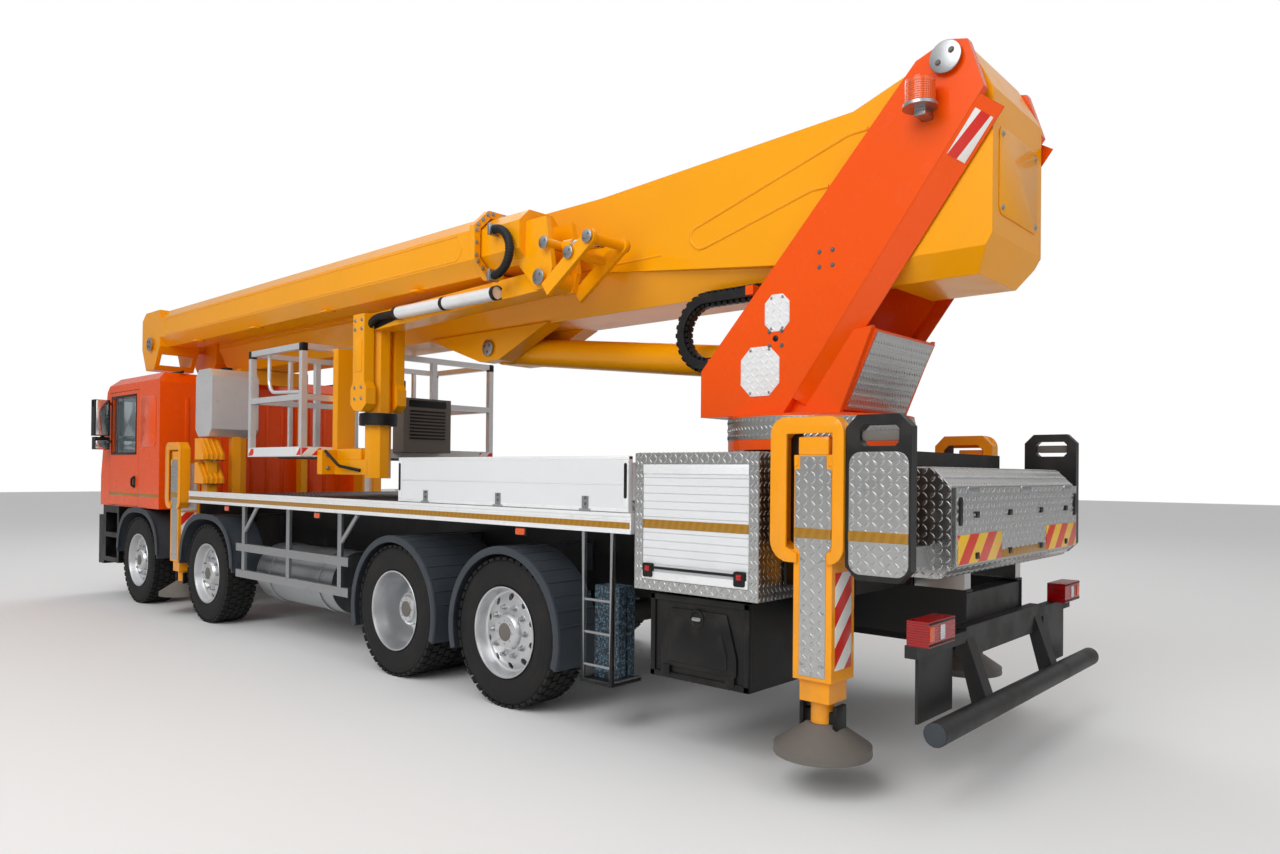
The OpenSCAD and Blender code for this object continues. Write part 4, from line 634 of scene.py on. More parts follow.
def bolt_heads(given):
    points = given["Geometry"]
    radius, rise = given["Radius"], given["Rise"]
    head = points.add("GeometryNodeMeshCylinder", {}, {"Vertices": 6, "Radius": radius, "Depth": rise})
    washer = points.add("GeometryNodeMeshCylinder", {}, {
        "Vertices": 14, "Radius": radius * 1.5, "Depth": rise * 0.35})
    lift = rise.add("CombineXYZ", {}, {"Z": rise * 0.5})
    lifted = points.add("GeometryNodeTransform", {}, {"Geometry": head, "Translation": lift})
    bolt = points.add("GeometryNodeJoinGeometry", {}, {"Geometry": [lifted, washer]})
    return points.add("GeometryNodeInstanceOnPoints", {}, {"Points": points, "Instance": bolt})


bolt_tree = grow_tree("bolt_heads", {"Radius": 0.01, "Rise": 0.008}, bolt_heads)


def bolts(spots, place, radius, rise):
    base = bpy.data.meshes.new("spots")
    base.from_pydata([(x, y, 0) for x, y in spots], [], [])
    return grown(bolt_tree, base, zinc, place, Radius=radius, Rise=rise)


def ring_spots(count, radius, start=0.0):
    turns = [start + 2 * math.pi * k / count for k in range(count)]
    return [(radius * math.cos(t), radius * math.sin(t)) for t in turns]


def bent_tube(given):
    path = given["Geometry"].add("GeometryNodeMeshToCurve", {}, {0: given["Geometry"]})
    bent = path.add("GeometryNodeFilletCurve", {"mode": "POLY"}, {
        "Curve": path, "Radius": given["Bend"], "Count": 8, "Limit Radius": True})
    even = bent.add("GeometryNodeResampleCurve", {"mode": "LENGTH"}, {"Curve": bent, "Length": given["Step"]})
    number = path.add("GeometryNodeInputIndex")
    wave = 1 - number.sum("MODULO", number, 2.0) * given["Rib"]
    sized = even.add("GeometryNodeSetCurveRadius", {}, {"Curve": even, "Radius": wave})
    ring = path.add("GeometryNodeCurvePrimitiveCircle", {}, {"Resolution": given["Sides"], "Radius": given["Radius"]})
    skin = path.add("GeometryNodeCurveToMesh", {}, {"Curve": sized, "Profile Curve": ring, "Fill Caps": True})
    scale = skin.socket.node.inputs.get("Scale")
    if scale is not None:
        skin.tree.links.new(path.add("GeometryNodeInputRadius").socket, scale)
    return skin


tube_tree = grow_tree("bent_tube", {"Bend": 0.05, "Step": 0.02, "Rib": 0.0, "Radius": 0.02, "Sides": 14}, bent_tube)


def path_mesh(points):
    base = bpy.data.meshes.new("path")
    base.from_pydata([Vector(p) for p in points], [(k, k + 1) for k in range(len(points) - 1)], [])
    return base


def tube(points, radius, finish, bend=0.05, step=0.03, rib=0.0, sides=14):
    return grown(tube_tree, path_mesh(points), finish, Bend=bend, Step=step, Rib=rib, Radius=radius, Sides=sides)


print("trees", len(bpy.data.node_groups))

# %% [markdown]
# ## Wheels
# A truck tyre is moulded: bulging sidewalls, a stiff tread cut into blocks, and ribs that guard the wall from kerbs.
# It sits on a rolled steel rim. The steered and tag axles carry rims that bulge outwards, and the drive axle carries
# twin tyres, so its outer rim is deep. A profile turned about the axle gives both, and a tree sets the tread blocks.

# %% Tyres and rims
TYRE_R, TWIN_PITCH = 0.510, 0.345
AXLE_X = {number: joint_at[f"wheel_{number}_left"][0] for number in (1, 2, 3, 4)}
_, WHEEL_Y, AXLE_Z = joint_at["wheel_1_left"]
CARCASS_R = TYRE_R - 0.013
BORE_R, NUTS, NUT_RING, HOLE_RING, HOLE_R = 0.0632, 10, 0.168, 0.235, 0.024
WALL = [(0.108, 0.300), (0.130, 0.303), (0.142, 0.318), (0.147, 0.322), (0.150, 0.340), (0.1545, 0.375),
        (0.1555, 0.400), (0.1545, 0.404), (0.1545, 0.410), (0.1555, 0.414), (0.153, 0.440), (0.147, 0.466),
        (0.150, 0.470), (0.147, 0.478), (0.138, 0.488), (0.126, CARCASS_R - 0.002), (0.110, CARCASS_R)]
tyre_profile = WALL + [(-along, radius) for along, radius in reversed(WALL)]
TREAD_ROWS = [(-0.124, 0.046), (-0.064, 0.050), (0.0, 0.050), (0.064, 0.050), (0.124, 0.046)]
TREAD_COUNT = 44


def tread(given):
    ring = given["Geometry"]
    points = ring.add("GeometryNodeMeshCircle", {}, {"Vertices": given["Count"], "Radius": given["Radius"]})
    lug = ring.add("GeometryNodeMeshCube", {}, {"Size": ring.add("CombineXYZ", {}, {
        "X": given["Rise"], "Y": given["Length"], "Z": given["Width"]})})
    place = ring.add("GeometryNodeInputPosition")
    parts = place.add("SeparateXYZ", {}, {0: place})
    angle = parts.sum("ARCTAN2", other_out(parts, "Y"), parts)
    spin = ring.add("FunctionNodeEulerToRotation", {}, {0: ring.add("CombineXYZ", {}, {"Z": angle})})
    return ring.add("GeometryNodeInstanceOnPoints", {}, {"Points": points, "Instance": lug, "Rotation": spin})


tread_tree = grow_tree("tread_row", {"Count": TREAD_COUNT, "Radius": CARCASS_R, "Rise": 0.02, "Length": 0.06,
                                     "Width": 0.05}, tread)


def tyre_parts(x, y):
    """A tyre with its middle at (x, y): the carcass, and five rows of tread blocks turned half a pitch by turns."""
    parts = [(turned(tyre_profile, (x, y, AXLE_Z), "Y", 72, closed=True), tyre_rubber)]
    for number, (along, width) in enumerate(TREAD_ROWS):
        turn = math.pi / TREAD_COUNT * (number % 2)
        place = facing((x, y + along, AXLE_Z), (1, 0, 0), (0, 0, -1)) @ Matrix.Rotation(turn, 4, "Z")
        seed = bpy.data.meshes.new("seed")
        length = 0.050 if number in (0, 4) else 0.058
        row = grown(tread_tree, seed, tyre_rubber, place, Radius=TYRE_R - 0.0105, Length=length, Width=width)
        parts.append((row, tyre_rubber))
    return parts


def drilled(mesh, holes):
    """Cuts a set of short cylinders, along Y, out of a mesh."""
    cutters = bmesh.new()
    for x, z, low, high, radius in holes:
        drill = turned([(low, 0), (low, radius), (high, radius), (high, 0)], (x, 0, z), "Y", 20)
        cutters.from_mesh(drill)
        bpy.data.meshes.remove(drill)
    tool = bpy.data.objects.new("drill", as_mesh(cutters))
    stock = bpy.data.objects.new("stock", mesh)
    for item in (tool, stock):
        bpy.context.scene.collection.objects.link(item)
    cut = stock.modifiers.new("cut", "BOOLEAN")
    cut.operation, cut.object, cut.solver = "DIFFERENCE", tool, "EXACT"
    graph = bpy.context.evaluated_depsgraph_get()
    result = bpy.data.meshes.new_from_object(stock.evaluated_get(graph), depsgraph=graph)
    for item in (tool, stock):
        bpy.data.objects.remove(item)
    return result


LIP = [(0.112, 0.2985), (0.134, 0.3005), (0.150, 0.312), (0.1545, 0.309), (0.152, 0.300)]
BACK = [(-along, radius) for along, radius in reversed(LIP)]
BULGE = [(0.128, 0.290), (0.100, 0.286), (0.080, 0.276), (0.072, 0.262), (0.078, 0.245), (0.090, 0.222),
         (0.094, 0.205), (0.092, 0.140), (0.096, 0.128), (0.122, 0.120), (0.133, 0.108), (0.1365, 0.085), (0.137, 0)]
BULGE_BACK = [(0.116, 0), (0.116, BORE_R), (-0.058, BORE_R), (-0.058, 0.118), (0.060, 0.124), (0.060, 0.255),
              (0.055, 0.272), (-0.10, 0.284), (-0.150, 0.298)]
DEEP = [(0.125, 0.291), (0.06, 0.284), (0.02, 0.276), (-0.06, 0.272), (-0.118, 0.266), (-0.138, 0.255),
        (-0.1465, 0.235), (-0.1465, 0.150), (-0.130, 0.138), (0.010, 0.128), (0.016, 0.110), (0.038, 0.098), (0.040, 0)]
DEEP_BACK = [(-0.080, 0), (-0.080, BORE_R), (-0.1725, BORE_R), (-0.1725, 0.245), (-0.150, 0.262)]
INNER = [(0.150, 0.298), (0.130, 0.270), (0.1725, 0.245), (0.1725, BORE_R), (-0.038, BORE_R), (-0.038, 0.135),
         (0.140, 0.140), (0.1465, 0.150), (0.1465, 0.235), (0.10, 0.268), (-0.12, 0.288), (-0.152, 0.300)]
bulge_rim = drilled(turned(LIP + BULGE + BULGE_BACK + BACK, (0, 0, 0), "Y", 64, closed=True),
                    [(x, z, 0.02, 0.12, HOLE_R) for x, z in ring_spots(NUTS, HOLE_RING, math.pi / NUTS)])
deep_rim = drilled(turned(LIP + DEEP + DEEP_BACK + BACK, (0, 0, 0), "Y", 64, closed=True),
                   [(x, z, -0.20, -0.12, HOLE_R) for x, z in ring_spots(NUTS, 0.205, math.pi / NUTS)])
inner_rim = turned(LIP + INNER + BACK, (0, 0, 0), "Y", 64, closed=True)


DISC_FACE, CAP_FACE, CAP_R = {False: 0.092, True: -0.1465}, {False: 0.137, True: 0.040}, 0.062  # by twin or not
CAP = [(-0.012, 0), (-0.012, CAP_R), (0.006, CAP_R), (0.010, 0.055), (0.010, 0)]


def wheel(number, side):
    x, twin = AXLE_X[number], number == 3
    parts = tyre_parts(x, WHEEL_Y)
    place = Matrix.Translation((x, WHEEL_Y, AXLE_Z))
    outward = facing((x, WHEEL_Y + DISC_FACE[twin], AXLE_Z), (-1, 0, 0), (0, 0, 1))
    main = (deep_rim if twin else bulge_rim).copy()
    main.transform(place)
    parts.append((main, rim_metal))
    parts.append((bolts(ring_spots(NUTS, NUT_RING), outward, 0.015, 0.034), zinc))
    cap_face = WHEEL_Y + CAP_FACE[twin]
    parts.append((turned(CAP, (x, cap_face - 0.004, AXLE_Z), "Y", 32), cast_grey))
    cap = facing((x, cap_face - 0.003, AXLE_Z), (-1, 0, 0), (0, 0, 1))
    parts.append((bolts(ring_spots(8, 0.078), cap, 0.007, 0.007), zinc))
    if twin:
        parts += tyre_parts(x, WHEEL_Y - TWIN_PITCH)
        inner = inner_rim.copy()
        inner.transform(Matrix.Translation((x, WHEEL_Y - TWIN_PITCH, AXLE_Z)))
        parts.append((inner, rim_metal))
    if side == "right":
        parts = [(both_ways(mesh), finish) for mesh, finish in parts]
    name = f"wheel_{number}_{side}"
    piece("visual_" + name, body_of_node[name], parts, [name])


for number in AXLE_X:
    for side in ("left", "right"):
        wheel(number, side)

# %% [markdown]
# ## Checker plate, frames and tapes
# Lockers, outrigger covers and the turntable's skirt are clad in aluminium checker plate, so that a foot doesn't
# slip on them and so that dents don't show. The plates are cut from sheet and riveted on, which is why they
# are thin separate pieces here. Each piece has dozens of such parts, so a kit makes a part and keeps its finish
# with it, in one line. Reflective tapes are glued on last.

# %% Cladding helpers
SIDES = {1: "left", -1: "right"}
PAINT_SLACK = 1e-4


def paint(node, finish, corner, opposite):
    """Gives another finish to the faces of a CAD node that lie inside a box."""
    mesh = nodes[node].data
    if finish.name not in mesh.materials:
        mesh.materials.append(finish)
    number = mesh.materials.find(finish.name)
    spans = [(min(pair) - PAINT_SLACK, max(pair) + PAINT_SLACK) for pair in zip(corner, opposite)]
    inside = [all(low <= c <= high for c, (low, high) in zip(v.co, spans)) for v in mesh.vertices]
    chosen = [face for face in mesh.polygons if all(inside[v] for v in face.vertices)]
    for face in chosen:
        face.material_index = number
    print("painted", node, finish.name, len(chosen))


def side_place(y, off=0.0):
    """The plane of a side wall: its own x runs backwards on the left side and forwards on the right side."""
    side = math.copysign(1, y)
    return facing((0, y + side * off, 0), (-side, 0, 0), (0, 0, 1))


def on_wall(outline, y):
    """An outline given along the vehicle and upwards, turned into the wall's own plane."""
    flip = -1 if y > 0 else 1
    return [(flip * x, z) for x, z in outline]


def rear_place(x):
    return facing((x, 0, 0), (0, -1, 0), (0, 0, 1))


def top_place(z):
    return facing((0, 0, z + PLATE_T), (1, 0, 0), (0, 1, 0))


def plate(outline, place, thickness, ease=0.0015):
    mesh = slab(outline, "Z", 0.0, thickness, ease)
    mesh.transform(place)
    return mesh


def round_at(x, z, half_x, half_z, radius, steps=3):
    return round_outline((x - half_x, z - half_z), (x + half_x, z + half_z), radius, steps)


def mirrored(half, middle):
    return [(middle + x, z) for x, z in half] + [(middle - x, z) for x, z in reversed(half)]


class Kit(list):
    """The parts of one piece, each kept with its finish."""

    def put(self, finish, mesh):
        self.append((mesh, finish))

    def box(self, finish, corner, opposite, ease=0.003):
        self.put(finish, block(corner, opposite, ease))

    def pipe(self, finish, points, radius, **sizes):
        self.put(finish, tube(points, radius, finish, **sizes))

    def studs(self, outline, place, finish=plate_metal, pitch=STUD_PITCH):
        self.put(finish, checker(outline, place, finish, pitch))

    def side_studs(self, outline, y, finish=plate_metal):
        """Checker plate on a side wall at y, standing its own thickness proud."""
        self.studs(on_wall(outline, y), side_place(y, PLATE_T), finish)

    def side_plate(self, finish, outline, y, thickness, ease=0.0015, off=0.0):
        self.put(finish, plate(on_wall(outline, y), side_place(y, off), thickness, ease))

    def rear_plate(self, finish, outline, x, thickness, ease=0.0015):
        self.put(finish, plate(outline, rear_place(x), thickness, ease))

    def side_bolts(self, finish, spots, y, radius, rise, off=0.0):
        self.put(finish, bolts(on_wall(spots, y), side_place(y, off), radius, rise))

    def rivets(self, spots, y, radius=0.006):
        self.side_bolts(zinc, spots, y, radius, 0.004, PLATE_T)


print("cladding helpers ready")

# %% [markdown]
# ## Rear locker
# The locker across the rear is folded from sheet, with a slope above and below its flap. Its two black corner plates
# carry a checker insert. Each face gets its own flat plate, because a real one is cut and riveted in the same way.

# %% Rear locker and corner plates
REAR_X, REAR_FRONT, REAR_HALF, REAR_LOW, REAR_TOP = -5.555, -5.125, 0.95, 1.10, 1.64
TOP_CUT, LOW_CUT, SLOPE_GAP = 0.095, 0.065, 0.004
CORNER_REAR, CORNER_FRONT, CORNER_LOW, CORNER_TOP, RIVET_IN = -5.490, -5.184, 1.128, 1.712, 0.018
STRIPE_LOW, STRIPE_TOP = 1.285, 1.335
DECK_Y = 1.275
TAPE_T = 0.0047  # just over the studs that it lies on
SLOPE = math.sqrt(0.5)
locker_end = [(REAR_FRONT, REAR_LOW), (REAR_X + LOW_CUT, REAR_LOW), (REAR_X, REAR_LOW + LOW_CUT),
              (REAR_X, REAR_TOP - TOP_CUT), (REAR_X + TOP_CUT, REAR_TOP), (REAR_FRONT, REAR_TOP)]
kit = Kit()
for side in SIDES:
    kit.side_studs(locker_end, side * REAR_HALF)
for z, lean, cut in ((REAR_TOP - TOP_CUT / 2, SLOPE, TOP_CUT), (REAR_LOW + LOW_CUT / 2, -SLOPE, LOW_CUT)):
    reach = cut / SLOPE / 2 - SLOPE_GAP
    slope = facing((REAR_X + cut / 2, 0, z), (0, -1, 0), (lean, 0, SLOPE)) @ Matrix.Translation((0, 0, PLATE_T))
    kit.studs(box_outline((-REAR_HALF, -reach), (REAR_HALF, reach)), slope)
kit.studs(box_outline((REAR_X + TOP_CUT, -REAR_HALF), (REAR_FRONT, REAR_HALF)), top_place(REAR_TOP))
for side in SIDES:
    y = side * DECK_Y
    paint("rear_body", body_black, (-5.6, side * 1.20, 1.0), (-5.1, side * 1.28, 1.9))
    kit.side_studs(round_outline((CORNER_REAR, CORNER_LOW), (CORNER_FRONT, CORNER_TOP), 0.06), y)
    kit.rivets([(x, z) for x in (CORNER_REAR + RIVET_IN, CORNER_FRONT - RIVET_IN) for z in (1.16, 1.42, 1.68)], y)
    stripe = box_outline((CORNER_REAR, STRIPE_LOW), (CORNER_FRONT, STRIPE_TOP))
    kit.side_plate(ochre_tape, stripe, y, TAPE_T, off=PLATE_T)
    kit.side_plate(cast_grey, round_outline((-5.44, 1.765), (-5.24, 1.815), 0.02), y, 0.012, off=-0.03)
piece("rear_cladding", body_of_node["rear_body"], kit)

# %% [markdown]
# ## Rear flap
# The flap hangs on three hinges along its top edge and swings up for the gear behind it. Two broad tapes mark the
# vehicle's width. Latches and pulls are small mouldings, made as thin rounded plates.

# %% Flap
FLAP_FACE, FLAP_LOW, FLAP_TOP = -5.575, REAR_LOW + LOW_CUT, REAR_TOP - TOP_CUT
FLAP_SKIN = FLAP_FACE - PLATE_T
TAPE_LOW, TAPE_IN, TAPE_OUT = 1.172, 0.36, 0.93
kit = Kit()
kit.studs(box_outline((-REAR_HALF, FLAP_LOW), (REAR_HALF, FLAP_TOP)), rear_place(FLAP_SKIN))
for z in (1.205, 1.41):
    for y in (-0.70, -0.24, 0.26, 0.72):
        kit.rear_plate(black_moulding, round_at(y, z, 0.022, 0.016, 0.006), FLAP_SKIN, 0.01)
for low, high in ((-TAPE_OUT, -TAPE_IN), (TAPE_IN, TAPE_OUT)):
    kit.rear_plate(marker_tape, box_outline((low, TAPE_LOW), (high, 1.315)), FLAP_SKIN, TAPE_T)
kit.rear_plate(ochre_tape, box_outline((-TAPE_IN, TAPE_LOW), (TAPE_IN, 1.215)), FLAP_SKIN, TAPE_T)
for y in (-0.75, 0.0, 0.75):
    kit.box(zinc, (FLAP_FACE - 0.012, y - 0.07, FLAP_TOP - 0.03), (FLAP_FACE, y + 0.07, FLAP_TOP + 0.004))
for y in (-0.905, 0.905):
    kit.rear_plate(black_moulding, round_at(y, 1.43, 0.02, 0.07, 0.018, 4), FLAP_SKIN, 0.008)
piece("flap_cladding", body_of_node["rear_flap"], kit)

# %% [markdown]
# ## Lockers
# A roller shutter closes each side locker. Four strips of checker plate frame it, a rail guides it above, and a
# pull bar with two lamp feet sits at its lower edge. The right locker is shorter, so its rear edge is a value apart.

# %% Lockers and their shutters
LOCKER_Y, LOCKER_IN, LOCKER_FRONT, LOCKER_LOW, LOCKER_TOP = 1.270, 0.70, -3.787, 0.930, 1.714
LOCKER_REAR = {1: -4.658, -1: -4.505}
EDGE, SHUTTER_Y, SHUTTER_GAP, BAR_LEVEL = 0.060, 1.2672, 0.002, 1.062
STRIPS = [  # low, high, thickness, ease, finish
    (1.598, 1.652, 0.006, 0.0015, rail_metal),
    (0.993, 1.038, 0.012, 0.0015, rail_metal),
    (STRIPE_LOW, STRIPE_TOP, 0.0022, 0.0005, ochre_tape),
]
kit = Kit()
for side, rear in LOCKER_REAR.items():
    y, face, front = side * LOCKER_Y, side * SHUTTER_Y, LOCKER_FRONT
    for low, high in (((rear, LOCKER_LOW), (rear + EDGE, LOCKER_TOP)),
                      ((front - EDGE, LOCKER_LOW), (front, LOCKER_TOP)),
                      ((rear + EDGE, LOCKER_TOP - EDGE), (front - EDGE, LOCKER_TOP)),
                      ((rear + EDGE, LOCKER_LOW), (front - EDGE, LOCKER_LOW + EDGE))):
        kit.side_studs(box_outline(low, high), y)
    kit.studs(box_outline((rear, side * LOCKER_IN), (front, y)), top_place(LOCKER_TOP))
    kit.studs(box_outline((-side * LOCKER_IN, LOCKER_LOW), (-y, LOCKER_TOP)), rear_place(rear - PLATE_T))
    low_x, high_x = rear + EDGE + SHUTTER_GAP, front - EDGE - SHUTTER_GAP
    for low, high, thickness, ease, finish in STRIPS:
        kit.side_plate(finish, box_outline((low_x, low), (high_x, high)), face, thickness, ease)
    for x in (low_x + 0.05, high_x - 0.05):
        kit.side_plate(black_moulding, round_at(x, 1.045, 0.035, 0.04, 0.01), face, 0.022)
        kit.side_plate(red_lens, box_outline((x - 0.016, 1.04), (x + 0.016, 1.07)), face, 0.025)
    bar_y = y + side * 0.012
    kit.pipe(black_moulding, [(low_x + 0.09, bar_y, BAR_LEVEL), (high_x - 0.09, bar_y, BAR_LEVEL)], 0.008)
piece("locker_cladding", body_of_node["lockers"], kit)

# %% [markdown]
# ## Toolbox lids
# The boxes below the lockers are moulded. A lid is stiff because its middle stands proud in two steps, with a rim
# round it and a turned catch. Eased plates of different thickness, laid on the CAD lid, give those steps.

# %% Lids
LID_REAR, LID_FRONT, LID_LOW, LID_TOP, LID_Y, LID_RIM = -4.60, -3.91, 0.445, 0.915, 1.255, 0.035
LID_MID, LID_HALF, PANEL_LOW, CATCH_Z = (LID_REAR + LID_FRONT) / 2, (LID_FRONT - LID_REAR) / 2, LID_LOW + 0.07, 0.80
KNOB = [(0, 0), (0, 0.055), (0.014, 0.052), (0.014, 0.040), (0.006, 0.036), (0.006, 0)]
panel = mirrored([(LID_HALF - 0.08, PANEL_LOW), (LID_HALF - 0.08, LID_LOW + 0.17), (LID_HALF - 0.15, LID_TOP - 0.07)],
                 LID_MID)
inset = [(LID_MID + (x - LID_MID) * 0.78, LID_LOW + 0.10 + (z - PANEL_LOW) * 0.80) for x, z in panel]
for side, word in SIDES.items():
    name, y, kit = "toolbox_lid_" + word, side * LID_Y, Kit()
    for low, high in (((LID_REAR, LID_LOW), (LID_FRONT, LID_LOW + LID_RIM)),
                      ((LID_REAR, LID_TOP - LID_RIM), (LID_FRONT, LID_TOP)),
                      ((LID_REAR, LID_LOW), (LID_REAR + LID_RIM, LID_TOP)),
                      ((LID_FRONT - LID_RIM, LID_LOW), (LID_FRONT, LID_TOP))):
        kit.side_plate(black_moulding, box_outline(low, high), y, 0.010, 0.004)
    kit.side_plate(black_moulding, panel, y, 0.012, 0.007)
    kit.side_plate(black_moulding, inset, y, 0.020, 0.006)
    knob = [(side * along, radius) for along, radius in KNOB]
    kit.put(black_moulding, turned(knob, (LID_MID, y + side * 0.012, CATCH_Z), "Y", 32))
    kit.side_plate(zinc, round_at(LID_MID, CATCH_Z, 0.03, 0.01, 0.009), y, 0.027)
    for x in (LID_REAR + 0.12, LID_FRONT - 0.12):
        kit.side_plate(black_moulding, round_at(x, LID_LOW + 0.0475, 0.03, 0.0275, 0.01), y, 0.018)
    piece(name + "_moulding", body_of_node[name], kit)

# %% [markdown]
# ## Outriggers
# Each leg slides in a casing. A painted loop of thick plate guards the casing, its corners are round because it is
# flame-cut and ground, and checker plate closes the front. The foot is a cast dish on a ball, held by a fork.
# Two functions dress a casing and a foot, and a loop runs them for all four ends.

# %% Casings
BEAM_X = {"front_left": 3.0914, "front_right": 3.2986, "rear_left": -4.9856, "rear_right": -4.7784}
CASING_HALF, CASING_IN, CASING_OUT = 0.110, 1.085, 1.245
COVER_IN, COVER_OUT = 0.074, 0.104
half_cover = [(COVER_IN, 0.60), (COVER_IN, 1.215), (COVER_OUT, 1.250), (COVER_OUT, 1.625), (COVER_IN, 1.632),
              (COVER_IN, 1.694)]
LOOP_AFT, LOOP_FORE, LOOP_LOW, LOOP_TOP, LOOP_SLOT, LOOP_BAR_Z = -0.175, 0.245, 1.160, 1.890, 0.085, 1.806
LOOP_ROUND, LOOP_FOOT, LOOP_HEEL = 0.085, 0.110, 0.088
SLOT_AFT, SLOT_FORE, SLOT_NECK_Z, SLOT_LOW_Z = -0.113, 0.150, 1.205, 1.235
loop_face = [(LOOP_SLOT, LOOP_LOW)] + quarter((LOOP_FORE - LOOP_FOOT, LOOP_LOW + LOOP_FOOT), LOOP_FOOT, 270)
loop_face += quarter((LOOP_FORE - LOOP_ROUND, LOOP_TOP - LOOP_ROUND), LOOP_ROUND, 0)
loop_face += quarter((LOOP_AFT + LOOP_ROUND, LOOP_TOP - LOOP_ROUND), LOOP_ROUND, 90)
loop_face += quarter((LOOP_AFT + LOOP_HEEL, LOOP_LOW + LOOP_HEEL), LOOP_HEEL, 180)
loop_face += [(-LOOP_SLOT, LOOP_LOW), (-LOOP_SLOT, SLOT_NECK_Z), (SLOT_AFT, SLOT_LOW_Z), (SLOT_AFT, LOOP_BAR_Z),
              (SLOT_FORE, LOOP_BAR_Z), (SLOT_FORE, SLOT_LOW_Z), (LOOP_SLOT, SLOT_NECK_Z)]


def dress_casing(end, middle, side):
    y, kit = side * DECK_Y, Kit()
    kit.side_studs(mirrored(half_cover, middle), y)
    spots = [(middle + x, z) for z in (0.66, 0.92, 1.18) for x in (-0.060, 0.060)]
    kit.rivets(spots + [(middle + x, z) for z in (1.27, 1.60) for x in (-0.090, 0.090)], y)
    stripe = box_outline((middle - COVER_OUT, STRIPE_LOW), (middle + COVER_OUT, STRIPE_TOP))
    kit.side_plate(ochre_tape, stripe, y, PLATE_T + TAPE_T, 0.0005)
    kit.side_plate(leg_paint, [(middle + x, z) for x, z in loop_face], y, 0.014, 0.006)
    low_y, high_y = sorted((y - side * 0.045, y + side * 0.002))
    kit.box(leg_paint, (middle - 0.086, low_y, 1.699), (middle + 0.086, high_y, 1.790), 0.006)
    for x in (middle - 0.098, middle + 0.098):
        kit.box(leg_paint, (x - 0.012, low_y, 1.642), (x + 0.012, high_y + side * 0.003, 1.7), 0.004)
    # Painted shade: a black plate set back behind the loop darkens the gap between the loop and the casing.
    kit.box(body_black, (middle + 0.1105, y - side * 0.090, 1.228), (middle + 0.178, y - side * 0.075, 1.822), 0.002)
    inner, outer, back = -side * CASING_IN, -side * CASING_OUT, middle - CASING_HALF
    kit.rear_plate(warning_tape, box_outline((inner, 0.64), (outer, 1.12)), back, 0.0025, 0.0005)
    if end.startswith("front"):
        kit.studs(box_outline((inner, 1.14), (outer, 1.66)), rear_place(back - PLATE_T), rail_metal)
    piece("cover_" + end, body_of_node["beam_" + end], kit)


# %% Feet
FOOT_Y, FOOT_Z, FORK_HALF = 1.165, 0.206, 0.095
DISH = [(0, 0.0), (0, 0.246), (0.012, 0.2465), (0.020, 0.240), (0.045, 0.225), (0.100, 0.14), (0.150, 0.085),
        (0.158, 0)]


def dress_foot(end, middle, side):
    leg, y, kit = "leg_" + end, side * FOOT_Y, Kit()
    paint(leg, cast_grey, (middle - 0.26, -1.42, 0.2), (middle + 0.26, 1.42, 0.365))
    kit.put(cast_grey, turned(DISH, (middle, y, FOOT_Z), "Z", 56))
    kit.box(black_moulding, (middle - FORK_HALF, y - 0.03, 0.30), (middle + FORK_HALF, y + 0.03, 0.42), 0.006)
    for x in (middle - FORK_HALF, middle + FORK_HALF):
        kit.box(black_moulding, (x - 0.012, y - 0.05, 0.335), (x + 0.012, y + 0.05, 0.455), 0.004)
    piece("foot_" + end, body_of_node[leg], kit)


for end, middle in BEAM_X.items():
    side = 1 if end.endswith("left") else -1
    dress_casing(end, middle, side)
    dress_foot(end, middle, side)

# %% [markdown]
# ## Tower
# The tower's two plates are cut and folded from thick steel, then welded. Pins hold the boom at the head and end in
# bolted caps, and hatches close the holes for the hoses. One function turns a cap and sets its bolts, because the
# boom and the jib have the same ones.

# %% Tower plates
TOWER_Y = 0.490
SLEW_X, _, TURN_Z = joint_at["tower"]
PIVOT_X, _, PIVOT_Z = joint_at["boom_base"]
HATCHES = (((-4.335, 2.485), (-4.155, 2.715), 0.05), ((-4.265, 2.09), (-3.975, 2.40), 0.075))
HATCH_IN, GRID_HALF = 0.02, 0.045
BOLT_GRIDS = ((-4.585, 2.885), (-4.235, 2.442))


def cap_parts(x, y, z, side, radius, count=2, depth=0.012):
    """A round cap with a few bolts at the end of a pin; side tells which way it faces."""
    rise = [(0.0, 0), (0.0, radius), (side * depth * 0.8, radius), (side * depth, radius * 0.93), (side * depth, 0)]
    place = facing((x, y + side * depth, z), (-side, 0, 0), (0, 0, 1))
    return [(turned(rise, (x, y, z), "Y", 40), zinc),
            (bolts(ring_spots(count, radius * 0.5, 0.6), place, radius * 0.13, radius * 0.1), cast_grey)]


tower_kit = Kit()
for side in SIDES:
    y = side * TOWER_Y
    for low, high, cut in HATCHES:
        tower_kit.side_studs(cut_outline(low, high, cut), y, rail_metal)
        spots = [(x, z) for x in (low[0] + cut, high[0] - cut) for z in (low[1] + HATCH_IN, high[1] - HATCH_IN)]
        tower_kit.rivets(spots, y, 0.007)
    for x, z in BOLT_GRIDS:
        spots = [(x + dx, z + dz) for dx in (-GRID_HALF, GRID_HALF) for dz in (-GRID_HALF, GRID_HALF)]
        tower_kit.side_bolts(cast_grey, spots, y, 0.010, 0.008)
    hole_x, hole_z = BOLT_GRIDS[1]
    # Painted shade: a thin black disc stands for the dark inside of the hole in the middle of the bolt grid.
    hole_shade_disc = [(hole_x + x, hole_z + z) for x, z in ring_spots(20, 0.02)]
    tower_kit.side_plate(black_moulding, hole_shade_disc, y, 0.002)
    tower_kit += cap_parts(PIVOT_X, y + side * 0.024, PIVOT_Z, side, 0.088)

# %% [markdown]
# ## Guide chain
# The hoses reach the boom through a chain of plastic links, which keeps their bend wide. A tree sets a link at every
# pitch along a path, turned to follow it; a second, flatter run of links makes the ribs between them.

